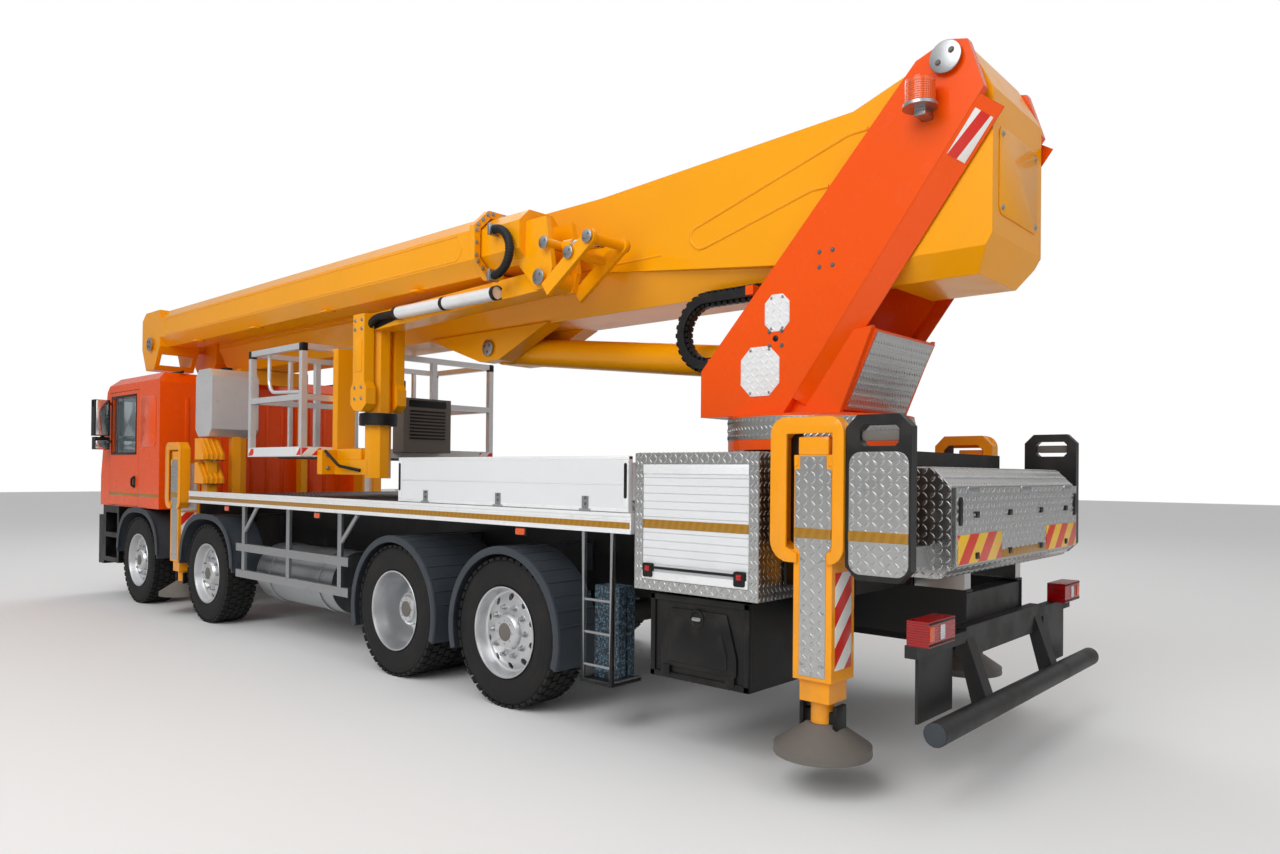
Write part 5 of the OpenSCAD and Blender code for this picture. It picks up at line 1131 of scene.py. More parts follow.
# %% Chain of links
CHAIN_X, CHAIN_Z, CHAIN_R, CHAIN_Y = -3.600, 2.560, 0.225, 0.335
HOSE_APART = 0.022


def links(given):
    path = given["Geometry"].add("GeometryNodeMeshToCurve", {}, {0: given["Geometry"]})
    spots = path.add("GeometryNodeCurveToPoints", {"mode": "LENGTH"}, {"Curve": path, "Length": given["Pitch"]})
    link = path.add("GeometryNodeMeshCube", {}, {"Size": path.add("CombineXYZ", {}, {
        "X": given["Height"], "Y": given["Width"], "Z": given["Length"]})})
    return path.add("GeometryNodeInstanceOnPoints", {}, {"Points": spots, "Instance": link,
                                                         "Rotation": other_out(spots, "Rotation")})


link_tree = grow_tree("chain_links", {"Pitch": 0.05, "Height": 0.07, "Width": 0.10, "Length": 0.03}, links)


def arc(centre, radius, start, stop, steps, y):
    """Points of an arc in a plane along the vehicle; angles are in degrees from +X towards +Z."""
    turn = [math.radians(start + (stop - start) * k / steps) for k in range(steps + 1)]
    return [(centre[0] + radius * math.cos(t), y, centre[1] + radius * math.sin(t)) for t in turn]


paint("tower", hose_rubber, (-4.05, 0.285, 2.30), (-3.30, 0.385, 2.82))
links_path = [(CHAIN_X - 0.40, CHAIN_Y, CHAIN_Z + CHAIN_R)]
links_path += arc((CHAIN_X, CHAIN_Z), CHAIN_R, 90, -90, 24, CHAIN_Y)
links_path.append((CHAIN_X - 0.10, CHAIN_Y, CHAIN_Z - CHAIN_R))
for sizes in ({}, {"Height": 0.034, "Width": 0.106, "Length": 0.042}):
    tower_kit.put(black_moulding, grown(link_tree, path_mesh(links_path), black_moulding, **sizes))
for y in (CHAIN_Y - HOSE_APART, CHAIN_Y + HOSE_APART):
    tower_kit.pipe(hose_rubber, [(x, y, z) for x, _, z in links_path], 0.018, bend=0.0, step=0.04)

# %% [markdown]
# ## Beacon and tapes
# An amber beacon stands on a bracket at the tower's left side. Its dome is ribbed inside, which a turned profile with
# a small step at each rib shows. Red and white tape marks the folded edges that swing out over the road.

# %% Beacon and edge tapes
BEACON, DOME_LOW, RIB_PITCH = (-5.215, 0.595, 3.580), 0.0135, 0.0152
dome = [(DOME_LOW, 0)] + [(DOME_LOW + RIB_PITCH * k, 0.0795 + 0.0015 * (k % 2)) for k in range(9)]
dome += [(0.146, 0.072), (0.151, 0.05), (0.152, 0)]
tower_kit.put(zinc, turned([(-0.004, 0), (-0.004, 0.093), (DOME_LOW, 0.093), (DOME_LOW, 0)], BEACON, "Z", 40))
tower_kit.put(amber_lens, turned(dome, BEACON, "Z", 40))
tower_kit.box(zinc, (-5.247, 0.489, 3.538), (-5.183, 0.60, 3.578), 0.004)

foot_spot, back_spot = Vector((SLEW_X - 0.030, 0, TURN_Z)), Vector((PIVOT_X - 0.200, 0, PIVOT_Z - 0.200))
edge = (back_spot - foot_spot).normalized()
edge_length = (back_spot - foot_spot).length
inward = Vector((-edge.z, 0, edge.x)) * 0.120
for side in SIDES:
    fold = (inward - Vector((0, side * 0.089, 0))).normalized()
    right = fold if fold.cross(edge).dot((-1, side, 0)) > 0 else -fold
    origin = foot_spot + Vector((0, side * 0.489, 0)) + fold * 0.076 + edge * (edge_length - 0.24)
    place = facing(origin + right.cross(edge) * 0.0005, right, edge)
    tower_kit.put(warning_tape, plate(box_outline((-0.055, -0.13), (0.055, 0.13)), place, 0.003, 0.0008))

# %% [markdown]
# ## Turntable skirt
# The skirt round the turntable is a strip of checker plate, rolled into a ring. A flat strip is studded here in the
# same way and its points are then wrapped round the slewing axis, so the studs stay as even as on the real strip.

# %% Skirt and web plate
TURN_R, SKIRT_OUT = 0.600, 0.002
WEB_TOP, WEB_FOOT = Vector((-4.85, 0, 2.46)), Vector((-4.64, 0, 2.0))
skirt = [(-0.155, TURN_R - 0.02), (-0.155, TURN_R + SKIRT_OUT), (-0.015, TURN_R + SKIRT_OUT), (-0.015, TURN_R - 0.02)]
tower_kit.put(plate_metal, turned(skirt, (SLEW_X, 0, TURN_Z), "Z", 72, closed=True))
strip_half = math.pi * TURN_R
flat_strip = checker(box_outline((-strip_half, -0.15), (strip_half, -0.02)), Matrix())
rolled = bmesh.new()
rolled.from_mesh(flat_strip)
bpy.data.meshes.remove(flat_strip)
bmesh.ops.delete(rolled, geom=[face for face in rolled.faces if len(face.verts) > 3], context="FACES")
for vert in rolled.verts:
    turn, reach = vert.co.x / TURN_R, TURN_R + SKIRT_OUT + vert.co.z
    vert.co = Vector((SLEW_X + reach * math.cos(turn), reach * math.sin(turn), TURN_Z + vert.co.y))
rolled_mesh = bpy.data.meshes.new("skirt_studs")
rolled.to_mesh(rolled_mesh)
rolled.free()
tower_kit.put(plate_metal, rolled_mesh)
web_face = facing((WEB_TOP + WEB_FOOT) / 2, (0, -1, 0), WEB_TOP - WEB_FOOT)
tower_kit.studs(box_outline((-0.38, -0.24), (0.38, 0.24)), web_face @ Matrix.Translation((0, 0, 0.025 + PLATE_T)))
piece("tower_details", body_of_node["tower"], tower_kit)

# %% [markdown]
# ## Boom
# The boom's plates are folded lengthwise, and beads are pressed into them so that the thin walls don't buckle. A
# pressed bead is a round ridge that follows a path, so a tube sunk halfway into the wall stands in for it.

# %% Boom details
BOOM_Y, BEAD_SINK, BEAD_R, BEAD_Z, TAIL_X = 0.385, 0.004, 0.013, 3.14, -5.5305
BEADS = (((-4.80, 3.635), (-4.67, 3.63), (-3.48, 3.27), (-3.455, 3.20), (-3.53, 3.125), (-3.60, 3.135)),
         ((-4.54, 3.35), (-4.42, 3.35), (-3.60, 3.135)))
kit = Kit()
for side in SIDES:
    y = side * (BOOM_Y - BEAD_SINK)
    for bead in BEADS:
        kit.pipe(boom_paint, [(x, y, z) for x, z in bead], BEAD_R, sides=12)
    kit.pipe(boom_paint, [(-3.2, y, BEAD_Z), (4.1, y, BEAD_Z)], 0.010, sides=10)
    kit += cap_parts(-1.150, side * 0.304, 2.670, side, 0.070, count=3)
    kit.box(boom_paint, (-5.02, side * 0.37 - 0.03, 2.78), (-4.93, side * 0.37 + 0.03, 2.86), 0.006)
kit.rear_plate(boom_paint, round_outline((-0.30, 3.02), (0.30, 3.50), 0.05), TAIL_X, 0.006, 0.003)
tail_spots = [(y, z) for y in (-0.26, 0.26) for z in (3.06, 3.46)]
kit.put(zinc, bolts(tail_spots, rear_place(TAIL_X - 0.006), 0.012, 0.01))
piece("boom_details", body_of_node["boom_base"], kit)

# %% [markdown]
# ## Jib
# The jib's inner section comes out of a bolted octagonal collar, and a long bead stiffens each side of the outer one.
# The bolts sit in the middle and near both ends of each edge of the collar, so their places come from its outline.

# %% Jib details
JIB_PIN_X, JIB_Y, JIB_PIN_Z = joint_at["jib_base"]
JIB_HALF, JIB_LOW, JIB_TOP, COLLAR_OUT = 0.235, 3.110, 3.560, 0.02
RIDGE = ((-1.60, 3.43), (4.30, 3.43), (4.36, 3.335), (4.30, 3.24), (-1.60, 3.24), (-1.66, 3.335), (-1.60, 3.43))
collar = cut_outline((-JIB_Y - JIB_HALF - COLLAR_OUT, JIB_LOW - COLLAR_OUT),
                     (-JIB_Y + JIB_HALF + COLLAR_OUT, JIB_TOP + COLLAR_OUT), 0.12)
edges = list(zip(collar, collar[1:] + collar[:1]))
spots = [(a[0] * (1 - k) + b[0] * k, a[1] * (1 - k) + b[1] * k) for a, b in edges for k in (0.12, 0.5, 0.88)]
kit = Kit()
kit.put(zinc, bolts(spots, rear_place(-1.8602), 0.012, 0.010))
side_y = JIB_Y + JIB_HALF
for y in (side_y - BEAD_SINK, JIB_Y - JIB_HALF + BEAD_SINK):
    kit.pipe(boom_paint, [(x, y, z) for x, z in RIDGE], 0.010, bend=0.03, step=0.06, sides=10)
kit += cap_parts(JIB_PIN_X, side_y + 0.026, JIB_PIN_Z, 1, 0.085, count=4)
for x in (-0.9, 0.6, 2.1, 3.6):
    kit.box(boom_paint, (x - 0.06, side_y - 0.06, JIB_LOW - 0.012), (x + 0.06, side_y - 0.16, JIB_LOW + 0.004))
piece("jib_details", body_of_node["jib_base"], kit)

# %% [markdown]
# ## Jib end
# Levers and a short cylinder at the jib's end keep the basket arm level. The hoses leave the jib there in one open
# loop of ribbed conduit, held by a clamp at each end.

# %% Hose loop, levers and cylinder
LOOP_X, LOOP_Z, LOOP_R, LOOP_Y, CONDUIT_R = -2.080, 3.225, 0.170, 0.975, 0.0335
LEVER_PINS = ((-2.985, 3.205), (-2.800, 3.125), (-2.545, 3.235))
ARM_PIN_X, _, ARM_PIN_Z = joint_at["basket_arm"]
CONDUIT = {"bend": 0.0, "step": 0.010, "rib": 0.10, "sides": 16}
paint("jib_2", hose_rubber, (-2.30, 0.94, 3.0), (-2.03, 1.02, 3.45))
loop_path = [(LOOP_X + 0.05, LOOP_Y, LOOP_Z + LOOP_R)] + arc((LOOP_X, LOOP_Z), LOOP_R, 90, 270, 24, LOOP_Y)
loop_path.append((LOOP_X + 0.05, LOOP_Y, LOOP_Z - LOOP_R))
kit = Kit()
kit.pipe(hose_rubber, loop_path, CONDUIT_R, **CONDUIT)
for z in (LOOP_Z - LOOP_R, LOOP_Z + LOOP_R):
    kit.box(zinc, (-2.07, 0.925, z - 0.044), (-2.04, 1.018, z + 0.044), 0.005)
for x, z in LEVER_PINS:
    for side in SIDES:
        kit += cap_parts(x, JIB_Y + side * 0.1874, z, side, 0.046, depth=0.010)
for side in SIDES:
    kit += cap_parts(ARM_PIN_X, JIB_Y + side * 0.176, ARM_PIN_Z, side, 0.058, depth=0.010)
first, last = (Vector((x, JIB_Y, z)) for x, z in (LEVER_PINS[0], LEVER_PINS[2]))
kit.pipe(rod_chrome, [first.lerp(last, 0.1), first.lerp(last, 0.94)], 0.0415, sides=24)
kit.pipe(boom_paint, [first.lerp(last, 0.72), first.lerp(last, 0.93)], 0.05, sides=24)
piece("jib_end_details", body_of_node["jib_2"], kit)

# %% [markdown]
# ## Basket arm
# A bright duct carries the hoses along the arm, and ribbed conduit takes them round the elbow and down the post. The
# rotator below the post turns the cage; it is a cast ring with a band and twelve bolts.

# %% Arm details
DUCT_Y, DUCT_Z, ELBOW_R = 0.860, 2.955, 0.230
POST_X = joint_at["cage"][0]
paint("basket_arm", rail_metal, (-1.97, 0.80, 2.89), (-0.59, 0.93, 3.02))
paint("basket_arm", hose_rubber, (-0.61, 0.82, 2.70), (-0.05, 0.90, 3.0))
paint("basket_arm", black_moulding, (-0.28, 0.55, 2.0), (0.08, 0.89, 2.112))
hose_path = [(-0.62, DUCT_Y, DUCT_Z), (POST_X - ELBOW_R, DUCT_Y, DUCT_Z)]
hose_path += arc((POST_X - ELBOW_R, DUCT_Z - ELBOW_R), ELBOW_R, 90, 5, 14, DUCT_Y)
clamp = [(-0.02, 0.050), (-0.02, 0.0555), (0.02, 0.0555), (0.02, 0.050)]
band = [(2.006, 0.150), (2.006, 0.1655), (2.060, 0.1680), (2.114, 0.1655), (2.114, 0.150)]
kit = Kit()
kit.pipe(hose_rubber, hose_path, CONDUIT_R, **CONDUIT)
for x in (-1.955, -1.30, -0.615):
    kit.put(black_moulding, turned(clamp, (x, DUCT_Y, DUCT_Z), "X", 32, closed=True))
for side in SIDES:
    place = facing((0, JIB_Y + side * 0.205, 0), (-side, 0, 0), (0, 0, 1))
    spots = [(POST_X + x, z) for x in (-0.055, 0.055) for z in (2.24, 2.34, 2.86, 2.94)]
    kit.put(zinc, bolts(on_wall(spots, side), place, 0.012, 0.010))
    panel = round_outline((POST_X - 0.06, 2.48), (POST_X + 0.06, 2.78), 0.02)
    kit.put(boom_paint, plate(on_wall(panel, side), place, 0.005, 0.002))
kit.put(black_moulding, turned(band, (POST_X, JIB_Y, 0), "Z", 56, closed=True))
kit.put(zinc, bolts(ring_spots(12, 0.14), facing((POST_X, JIB_Y, 2.110), (1, 0, 0), (0, 1, 0)), 0.010, 0.010))
piece("arm_details", body_of_node["basket_arm"], kit)

# %% [markdown]
# ## Cage
# The basket is welded from light aluminium profile. Its gate lifts on a bent tube, the floor pan is coated white,
# and the corners carry red and white tape because the cage swings out over the road.

# %% Cage frame, gate and floor
CAGE_REAR, CAGE_FRONT, CAGE_LEFT, CAGE_RIGHT = 0.550, 1.650, 1.120, -1.100
CAGE_LOW, CAGE_TOP, CAGE_TUBE, PAN_TOP = 1.725, 2.780, 0.055, 1.815
MARK_LOW, MARK_TOP, MARK_W = CAGE_LOW + 0.012, PAN_TOP - 0.01, 0.12
GATE_Y, GATE_FRONT, GATE_REAR = CAGE_LEFT - 0.075, 1.36, 0.60
CAP_HALF, FLOOR_IN, RUNNER_Z = 0.031, 0.06, CAGE_LOW - 0.006
paint("cage", white_coat, (CAGE_REAR - 0.01, CAGE_RIGHT - 0.01, CAGE_LOW),
      (CAGE_FRONT + 0.01, CAGE_LEFT + 0.01, PAN_TOP))
paint("cage", cast_grey, (0.35, -0.41, 1.78), (0.56, 0.17, 2.34))
cage_kit = Kit()
gate = [(GATE_FRONT, GATE_Y, 2.745), (GATE_FRONT, GATE_Y, 2.36), (GATE_REAR, GATE_Y, 2.33)]
cage_kit.pipe(upright_metal, gate, 0.019, bend=0.13, step=0.02)
for x in (GATE_REAR + 0.06, GATE_FRONT):
    cage_kit.box(black_moulding, (x - 0.015, GATE_Y - 0.02, 2.26), (x + 0.015, CAGE_LEFT - 0.02, 2.30))
for y in (-0.78, -0.05, 0.70):
    cage_kit.box(upright_metal, (CAGE_FRONT - 0.05, y - 0.02, PAN_TOP),
                 (CAGE_FRONT - 0.008, y + 0.02, CAGE_TOP - CAGE_TUBE), 0.004)
for y in (CAGE_LEFT, CAGE_RIGHT):
    for x in (CAGE_REAR + 0.008, CAGE_FRONT - 0.128):
        cage_kit.side_plate(warning_tape, box_outline((x, MARK_LOW), (x + MARK_W, MARK_TOP)), y, 0.002, 0.0005)
for low, high in ((0.92, 1.095), (-1.11, -0.92)):
    cage_kit.rear_plate(warning_tape, box_outline((low, MARK_LOW), (high, MARK_TOP)), CAGE_REAR, 0.002, 0.0005)
for x in (CAGE_REAR + CAGE_TUBE / 2, CAGE_FRONT - CAGE_TUBE / 2):
    for y in (CAGE_LEFT - CAGE_TUBE / 2, CAGE_RIGHT + CAGE_TUBE / 2):
        cage_kit.box(black_moulding, (x - CAP_HALF, y - CAP_HALF, CAGE_TOP - 0.075),
                     (x + CAP_HALF, y + CAP_HALF, CAGE_TOP + 0.004), 0.008)
floor_low = (CAGE_REAR + FLOOR_IN, CAGE_RIGHT + FLOOR_IN)
floor_high = (CAGE_FRONT - FLOOR_IN, CAGE_LEFT - FLOOR_IN)
cage_kit.studs(box_outline(floor_low, floor_high), top_place(PAN_TOP), pitch=0.05)
for x in (0.72, 1.48):
    cage_kit.pipe(zinc, [(x, 0.9, RUNNER_Z), (x, -0.9, RUNNER_Z)], 0.009)

# %% [markdown]
# ## Control boxes
# A grey box with cooling slats hangs at the cage's rear, and the operator's desk with three push buttons stands at
# its front. Slats and buttons are spaced by loops.

# %% Slatted box and desk
SLATS, SLAT_LOW, SLAT_PITCH, DESK_TOP, BUTTON_X = 9, 1.92, 0.034, 2.62, 1.50
for k in range(SLATS):
    z = SLAT_LOW + SLAT_PITCH * k
    cage_kit.box(black_moulding, (0.352, -0.33, z), (0.361, 0.09, z + 0.016))
cage_kit.rear_plate(black_moulding, round_outline((-0.10, 2.24), (0.34, 2.31), 0.015, 3), 0.360, 0.006)
cage_kit.box(black_moulding, (1.42, -0.55, 2.30), (1.59, -0.20, DESK_TOP), 0.012)
cage_kit.box(cast_grey, (1.40, -0.50, 2.45), (1.425, -0.25, 2.58), 0.004)
for y in (-0.45, -0.375, -0.30):
    cage_kit.pipe(red_lens, [(BUTTON_X, y, DESK_TOP), (BUTTON_X, y, DESK_TOP + 0.08)], 0.010)
piece("cage_details", body_of_node["cage"], cage_kit)

# %% [markdown]
# ## Cage carrier
# The carrier is a welded bracket between the rotator and the cage. Stiffening flats stand on its sides, two hoses hang
# past it in easy bends, and four bolts hold the cage.

# %% Carrier
CARRIER_HOSES = (((0.0, 0.60, 1.60), (0.30, 0.56, 1.64), (0.44, 0.50, 1.80)),
                 ((0.0, 0.84, 1.60), (0.30, 0.88, 1.64), (0.44, 0.94, 1.78)))
kit = Kit()
for y in (0.63, 0.81):
    kit.box(boom_paint, (0.02, y - 0.012, 1.70), (0.44, y + 0.012, 1.80), 0.004)
for hose in CARRIER_HOSES:
    kit.pipe(hose_rubber, hose, 0.014, bend=0.06, step=0.02)
kit.put(zinc, bolts([(y, z) for y in (-0.90, -0.54) for z in (1.62, 1.74)], rear_place(0.4597), 0.014, 0.012))
piece("carrier_details", body_of_node["cage_carrier"], kit)

# %% [markdown]
# ## Deck
# The deck's edge is one long aluminium extrusion with a lip above and below, so beads stand proud of it, and amber
# markers show the length at night. The floor is dark anti-slip plate, and braces hold the side guards under it.

# %% Deck edge, markers and floor
DECK_REAR, DECK_FRONT, DECK_LOW, DECK_TOP, DECK_FLOOR = -3.757, 2.700, 1.240, 1.362, 1.332
MARKERS, MARKER_LOW, MARKER_TOP = (-2.76, -0.06, 1.75), 1.180, 1.236
LIPS = ((DECK_TOP - 0.020, DECK_TOP, 0.005), (DECK_LOW, DECK_LOW + 0.018, 0.005), (1.322, 1.330, 0.0025))
BRACE_Y, BRACE_LOW, BRACE_TOP = 1.248, 1.000, 1.236
kit = Kit()
for side in SIDES:
    y = side * DECK_Y
    for low, high, out in LIPS:
        kit.side_plate(rail_metal, box_outline((DECK_REAR, low), (DECK_FRONT, high)), y, out)
    tape_line = box_outline((DECK_REAR + 0.01, 1.270), (DECK_FRONT - 0.01, 1.308))
    kit.side_plate(ochre_tape, tape_line, y, 0.0015, 0.0004)
    for x in MARKERS:
        kit.box(black_moulding, (x - 0.055, y - side * 0.012, MARKER_LOW), (x + 0.055, y, MARKER_TOP), 0.004)
        kit.side_plate(amber_lens, round_at(x, 1.207, 0.045, 0.021, 0.01), y, 0.006)
kit.studs(box_outline((-3.70, -1.20), (2.66, 1.20)), top_place(DECK_FLOOR), frame_paint, 0.085)
for side in SIDES:
    for x in (-0.41, 1.41):
        kit.pipe(zinc, [(x - 0.02, side * BRACE_Y, BRACE_LOW), (x - 0.27, side * BRACE_Y, BRACE_TOP)], 0.019)
piece("deck_details", body_of_node["deck"], kit)

# %% [markdown]
# ## Side panels
# The folding panels are white profile between two bright rails. Straps below carry them on hinge tubes, and a black
# pull sits at each end.

# %% Panel trim
PANEL_Y, PANEL_REAR, PANEL_FRONT, HINGE_Z = 1.267, -3.730, -1.300, 1.371
for side, word in SIDES.items():
    name, y, kit = "dropside_" + word, side * PANEL_Y, Kit()
    paint(name, zinc, (-4, side * 1.2675, 1.3), (0, side * 1.29, 1.5))
    kit.box(rail_metal, (PANEL_REAR, side * 1.233, 1.680), (PANEL_FRONT, side * 1.269, 1.703), 0.004)
    kit.side_plate(rail_metal, box_outline((PANEL_REAR, 1.368), (PANEL_FRONT, 1.392)), y, 0.003)
    kit.side_plate(white_coat, box_outline((PANEL_REAR + 0.04, 1.528), (PANEL_FRONT - 0.04, 1.536)), y, 0.002)
    for x in (PANEL_REAR + 0.002, PANEL_FRONT - 0.044):
        kit.side_plate(rail_metal, box_outline((x, 1.392), (x + 0.042, 1.68)), y, 0.004)
        kit.side_plate(black_moulding, round_at(x + 0.021, 1.555, 0.011, 0.105, 0.009), y, 0.009)
    for x in (-3.3655, -2.515, -1.6645):
        hinge_y = y + side * 0.006
        kit.pipe(zinc, [(x - 0.045, hinge_y, HINGE_Z), (x + 0.045, hinge_y, HINGE_Z)], 0.009)
        kit.side_bolts(cast_grey, [(x, 1.41), (x, 1.445)], y, 0.007, 0.006, 0.004)
    piece(name + "_trim", body_of_node[name], kit)

# %% [markdown]
# ## Mudguards
# Mudguards are moulded with a thick rim and ribs, which keep the shell stiff. The rear ones are part of a circle. The
# front ones are a little squarer than an ellipse, because they fit under the cab, so a power of sine and cosine
# gives their arch. Two short rails join the front guards.

# %% Mudguard rims and ribs
GUARD_R, GUARD_Y, GUARD_FACE_Y, GUARD_ENDS, GUARD_STEPS = 0.575, 1.2585, 1.262, (-18, 198), 40
RIM_IN, RIM_OUT, RIM_T, RIM_W = 0.533, 0.585, 0.013, 0.058
ARCH_HALF, ARCH_RISE, ARCH_POWER, ARCH_STEPS, ARCH_TURNS = 0.672, 0.622, 2 / 2.6, 28, (6, 168)
RIB_INNER = {3: 0.60, 4: 0.93}
RIB_X_R, RIB_Z_R, RIB_Y = 0.583, 0.580, 1.255
SHORT_RAILS = ((0.545, 2.953, 3.598), (0.790, 2.893, 3.658))


def round_arch(x, half, rise):
    turns = [math.radians(ARCH_TURNS[0] + ARCH_TURNS[1] * k / ARCH_STEPS) for k in range(ARCH_STEPS + 1)]
    return [(x + math.copysign(half * abs(math.cos(t)) ** ARCH_POWER, math.cos(t)),
             AXLE_Z + rise * math.sin(t) ** ARCH_POWER) for t in turns]


def guard_arc(x, radius, y=0.0):
    return arc((x, AXLE_Z), radius, *GUARD_ENDS, GUARD_STEPS, y)


def rim(outer, inner, side):
    """A flat rim between two arches, on the outer face of a guard."""
    return slab(outer + inner[::-1], "Y", side * GUARD_FACE_Y, side * (GUARD_FACE_Y + RIM_T), 0.004)


kit = Kit()
for side in SIDES:
    for number, inner in RIB_INNER.items():
        axle = AXLE_X[number]
        outlines = ([(x, z) for x, _, z in guard_arc(axle, radius)] for radius in (RIM_OUT, RIM_IN))
        kit.put(guard_moulding, rim(*outlines, side))
        kit.pipe(guard_moulding, guard_arc(axle, GUARD_R, side * GUARD_Y), 0.0135, bend=0.0, step=0.05)
        for turn in range(10, 171, 10):
            x, z = axle + RIB_X_R * math.cos(math.radians(turn)), AXLE_Z + RIB_Z_R * math.sin(math.radians(turn))
            kit.pipe(guard_moulding, [(x, side * inner, z), (x, side * RIB_Y, z)], 0.008, sides=8)
    for number in (1, 2):
        outlines = (round_arch(AXLE_X[number], ARCH_HALF - w, ARCH_RISE - w) for w in (0.0, RIM_W))
        kit.put(guard_moulding, rim(*outlines, side))
    for z, rear, front in SHORT_RAILS:
        kit.box(zinc, (rear, side * 1.000, z), (front, side * 1.030, z + 0.07), 0.006)
piece("mudguard_rims", body_of_node["mudguards"], kit)

# %% [markdown]
# ## Ground pads and stowed gear
# The pads that go under the outrigger feet are pressed from recycled plastic, so flecks of blue and grey show in them.
# They stand in a rack of bent rod. Two yellow wheel chocks with ribs are strapped below the fluid box.

# %% Pad finish
pad_finish, pad_shader, pad_place = new_finish("pad_plastic", shade(70, 84, 96), 0.6)
flecks = soft_step(speckle(pad_place, 70.0, 2.0), 0.52, 0.60)
dark = soft_step(speckle(pad_place, 40.0, 3.0), 0.55, 0.62)
flecked = blend_colours(flecks, shade(42, 52, 60), shade(84, 120, 142))
feed(pad_shader, Base_Color=blend_colours(dark, flecked, shade(20, 24, 28)), Roughness=0.55 + flecks * 0.15)
for side in SIDES:
    paint("toolboxes", pad_finish, (-3.575, side * 1.025, 0.319), (-3.355, side * 1.175, 0.901))
    paint("toolboxes", zinc, (-3.61, side * 1.235, 0.319), (-3.32, side * 1.262, 1.241))
paint("lockers", leg_paint, (2.45, 1.0, 1.33), (2.69, 1.24, 1.93))
paint("fluid_box", leg_paint, (2.53, 0.79, 1.30), (2.65, 0.90, 1.952))

# %% Pad rack and chocks
RACK_Y, RACK_LOW, RACK_TOP = 1.249, 0.335, 0.90
CHOCK_LOW, CHOCK_PITCH, CHOCK_FRONT, CHOCK_REAR = 1.440, 0.255, 2.677, 2.449
kit = Kit()
for side in SIDES:
    y = side * RACK_Y
    for z in (0.42, 0.62, 0.82):
        kit.pipe(zinc, [(-3.600, y, z), (-3.330, y, z)], 0.009)
    for x in (-3.588, -3.342):
        kit.pipe(zinc, [(x, side * 1.01, RACK_LOW), (x, y, RACK_LOW), (x, y, RACK_TOP)], 0.010, bend=0.03)
for number in (0, 1):
    base = CHOCK_LOW + CHOCK_PITCH * number
    rib = [(CHOCK_FRONT, base + 0.006), (CHOCK_FRONT, base + 0.236), (2.603, base + 0.236),
           (CHOCK_REAR, base + 0.066), (CHOCK_REAR, base + 0.006)]
    for y in (1.035, 1.085, 1.135, 1.185):
        kit.put(leg_paint, slab(rib, "Y", y - 0.009, y + 0.009, 0.002))
    sole = box_outline((CHOCK_REAR, base - 0.004), (CHOCK_FRONT, base + 0.003))
    kit.put(black_moulding, slab(sole, "Y", 1.006, 1.234, 0.001))
kit.pipe(zinc, [(2.42, 1.12, 1.69), (2.72, 1.12, 1.69)], 0.012)
filler_cap = [(0, 0), (0, 0.06), (0.03, 0.06), (0.035, 0.052), (0.035, 0)]
kit.put(black_moulding, turned(filler_cap, (2.69, 0.90, 2.680), "Z", 28))
piece("stowed_gear", body_of_node["toolboxes"], kit)

# %% [markdown]
# ## Doors
# The cab is pressed steel, sprayed with the doors off. Rubber holds the glass, the mirrors are black mouldings on
# steel arms, and one thin stripe runs along the doors. Flat plates are enough for all of them, and each door has its
# own piece, so that it swings.

# %% Door details
CAB_SIDE, DOOR_REAR, DOOR_FRONT, CAB_REAR = 1.245, 4.300, 5.300, 3.640
WINDOW_LOW, WINDOW_TOP, WINDOW_REAR, WINDOW_FRONT, RUBBER = 1.790, 2.470, 4.390, 5.210, 0.026
CAB_STRIPE_LOW, CAB_STRIPE_TOP = 1.262, 1.298
MIRROR_X, MIRROR_Y, MIRROR_IN, MIRROR_RIM = 5.150, 1.460, 1.305, 0.012
HANDLE_X = 4.425
GRIP = ((0.002, 1.375), (0.030, 1.395), (0.030, 1.475), (0.002, 1.495))  # out of the door, and height
RUBBERS = (((WINDOW_REAR - RUBBER, WINDOW_LOW - RUBBER), (WINDOW_FRONT + RUBBER, WINDOW_LOW)),
           ((WINDOW_REAR - RUBBER, WINDOW_TOP), (WINDOW_FRONT + RUBBER, WINDOW_TOP + RUBBER)),
           ((WINDOW_REAR - RUBBER, WINDOW_LOW), (WINDOW_REAR, WINDOW_TOP)),
           ((WINDOW_FRONT, WINDOW_LOW), (WINDOW_FRONT + RUBBER, WINDOW_TOP)),
           ((WINDOW_FRONT - 0.22, WINDOW_LOW), (WINDOW_FRONT - 0.20, WINDOW_TOP)))


def cab_stripe(kit, rear, front, y):
    kit.side_plate(ochre_tape, box_outline((rear, CAB_STRIPE_LOW), (front, CAB_STRIPE_TOP)), y, 0.0012, 0.0003)


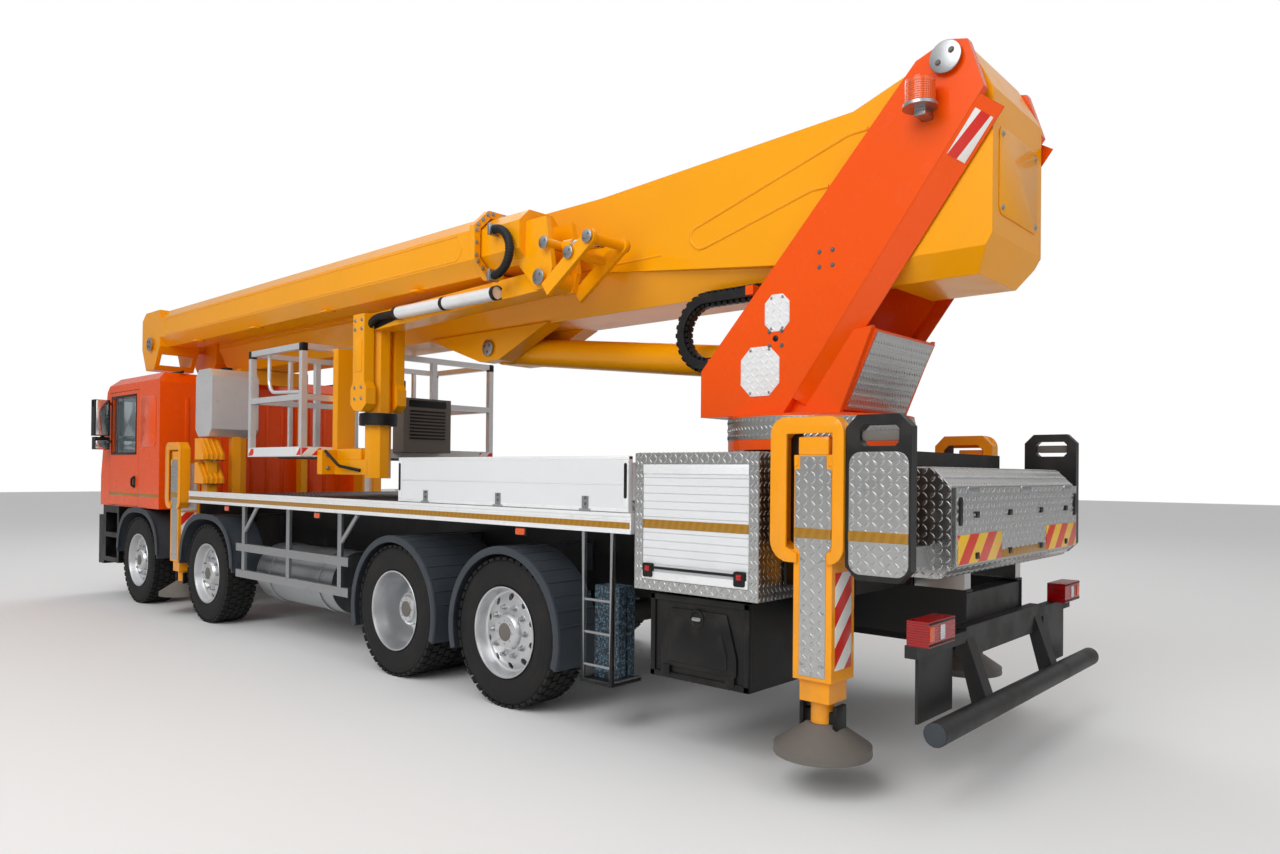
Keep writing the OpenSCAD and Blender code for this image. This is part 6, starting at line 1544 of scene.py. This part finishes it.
for side, word in SIDES.items():
    name, y, kit = "door_" + word, side * CAB_SIDE, Kit()
    paint(name, black_moulding, (5.10, side * (CAB_SIDE + 0.001), 1.80), (5.32, side * (MIRROR_Y + 0.01), 2.51))
    cab_stripe(kit, DOOR_REAR + 0.005, DOOR_FRONT - 0.005, y)
    for low, high in RUBBERS:
        kit.side_plate(black_moulding, box_outline(low, high), y, 0.005)
    kit.side_plate(black_moulding, round_at(HANDLE_X, 1.435, 0.040, 0.075, 0.03, 6), y, 0.004)
    grip = [(HANDLE_X, y + side * out, z) for out, z in GRIP]
    kit.pipe(black_moulding, grip, 0.011, bend=0.015, step=0.01)
    inner, outer = sorted((-side * (MIRROR_Y - MIRROR_RIM), -side * MIRROR_IN))
    for low, high in ((2.005, 2.445), (1.835, 1.942)):
        kit.rear_plate(rod_chrome, round_outline((inner, low), (outer, high), 0.02), MIRROR_X - 0.001, 0.003)
    amber = round_outline((MIRROR_X + 0.02, 2.36), (MIRROR_X + 0.10, 2.44), 0.02)
    kit.side_plate(amber_lens, amber, side * MIRROR_Y, 0.004, 0.001, off=-0.004)
    piece(name + "_details", body_of_node[name], kit)

# %% [markdown]
# ## Cab front, rear and roof
# Grille bars and wipers are separate clipped parts, ribs stiffen the rear wall, and two tubes lie along the roof. The
# windscreen leans, so the wipers take their distance from its slope.

# %% Cab details
GRILLE_BARS, GRILLE_LOW, GRILLE_PITCH = 7, 1.265, 0.05
RIBS, RIB_FIRST_Y, RIB_PITCH_Y = 11, -0.95, 0.19
SCREEN_X, SCREEN_Z, SCREEN_LEAN = 5.548, 1.76, 0.2
ROOF_Y, ROOF_Z = 0.98, 2.735


def on_screen(out, y, z):
    return (SCREEN_X - SCREEN_LEAN * (z - SCREEN_Z) + out, y, z)


kit = Kit()
for side in SIDES:
    cab_stripe(kit, CAB_REAR + 0.01, DOOR_REAR - 0.012, side * CAB_SIDE)
    side_panel = cut_outline((CAB_REAR + 0.10, 1.85), (DOOR_REAR - 0.08, 2.45), 0.05)
    kit.side_plate(cab_paint, side_panel, side * CAB_SIDE, 0.004, 0.003)
for k in range(GRILLE_BARS):
    z = GRILLE_LOW + GRILLE_PITCH * k
    kit.put(black_moulding, slab(round_outline((-0.79, z), (0.79, z + 0.028), 0.008, 3), "X", 5.609, 5.622, 0.003))
kit.put(cab_trim, slab(round_outline((-0.82, 1.245), (0.82, 1.64), 0.03), "X", 5.606, 5.6125, 0.002))
for y in (0.62, -0.12, -0.80):
    arm = [on_screen(0.014, y, 1.80), on_screen(0.020, y - 0.06, 1.86), on_screen(0.016, y - 0.36, 2.02)]
    kit.pipe(black_moulding, arm, 0.009, bend=0.02)
    kit.pipe(hose_rubber, [on_screen(0.006, y - 0.58, 1.94), on_screen(0.006, y - 0.14, 2.10)], 0.007)
for k in range(RIBS):
    y = RIB_FIRST_Y + RIB_PITCH_Y * k
    kit.box(cab_paint, (3.630, y - 0.022, 1.30), (3.641, y + 0.022, 2.42), 0.004)
for side in SIDES:
    kit.pipe(black_moulding, [(3.70, side * ROOF_Y, ROOF_Z), (5.05, side * ROOF_Y, ROOF_Z)], 0.016)
piece("cab_details", body_of_node["cab_shell"], kit)

# %% [markdown]
# ## Tail lamps and underrun bar
# Each rear lamp is a ribbed red lens with a clear strip for reversing and an amber strip for turning. Moulded caps
# close the ends of the bar below.

# %% Tail lamps and bar caps
LAMP_X, LAMP_LOW, LAMP_TOP, LAMP_IN, LAMP_OUT, LAMP_FRAME = -5.5400, 0.815, 0.905, 0.868, 1.158, 0.010
BAR_X, BAR_HALF, BAR_Z, BAR_R = -5.593, 1.205, 0.421, 0.057
kit = Kit()
for side in SIDES:
    for strip_in, strip_out, finish in ((0.985, 1.035, clear_lens), (1.105, 1.155, amber_lens)):
        inner, outer = sorted((-side * strip_in, -side * strip_out))
        strip = round_outline((inner, LAMP_LOW + 0.01), (outer, LAMP_TOP - 0.01), 0.006, 3)
        kit.rear_plate(finish, strip, LAMP_X, 0.003)
    for low in (LAMP_LOW - LAMP_FRAME, LAMP_TOP):
        frame_bar = box_outline((-side * LAMP_IN, low), (-side * LAMP_OUT, low + LAMP_FRAME))
        kit.rear_plate(black_moulding, frame_bar, LAMP_X, 0.003)
piece("tail_lamp_strips", body_of_node["tail_lamps"], kit)

kit = Kit()
for side in SIDES:
    cap = [(0, 0), (0, BAR_R - 0.001), (side * 0.004, BAR_R - 0.004), (side * 0.004, 0)]
    kit.put(guard_moulding, turned(cap, (BAR_X, side * BAR_HALF, BAR_Z), "Y", 32))
piece("underrun_caps", body_of_node["underrun"], kit)
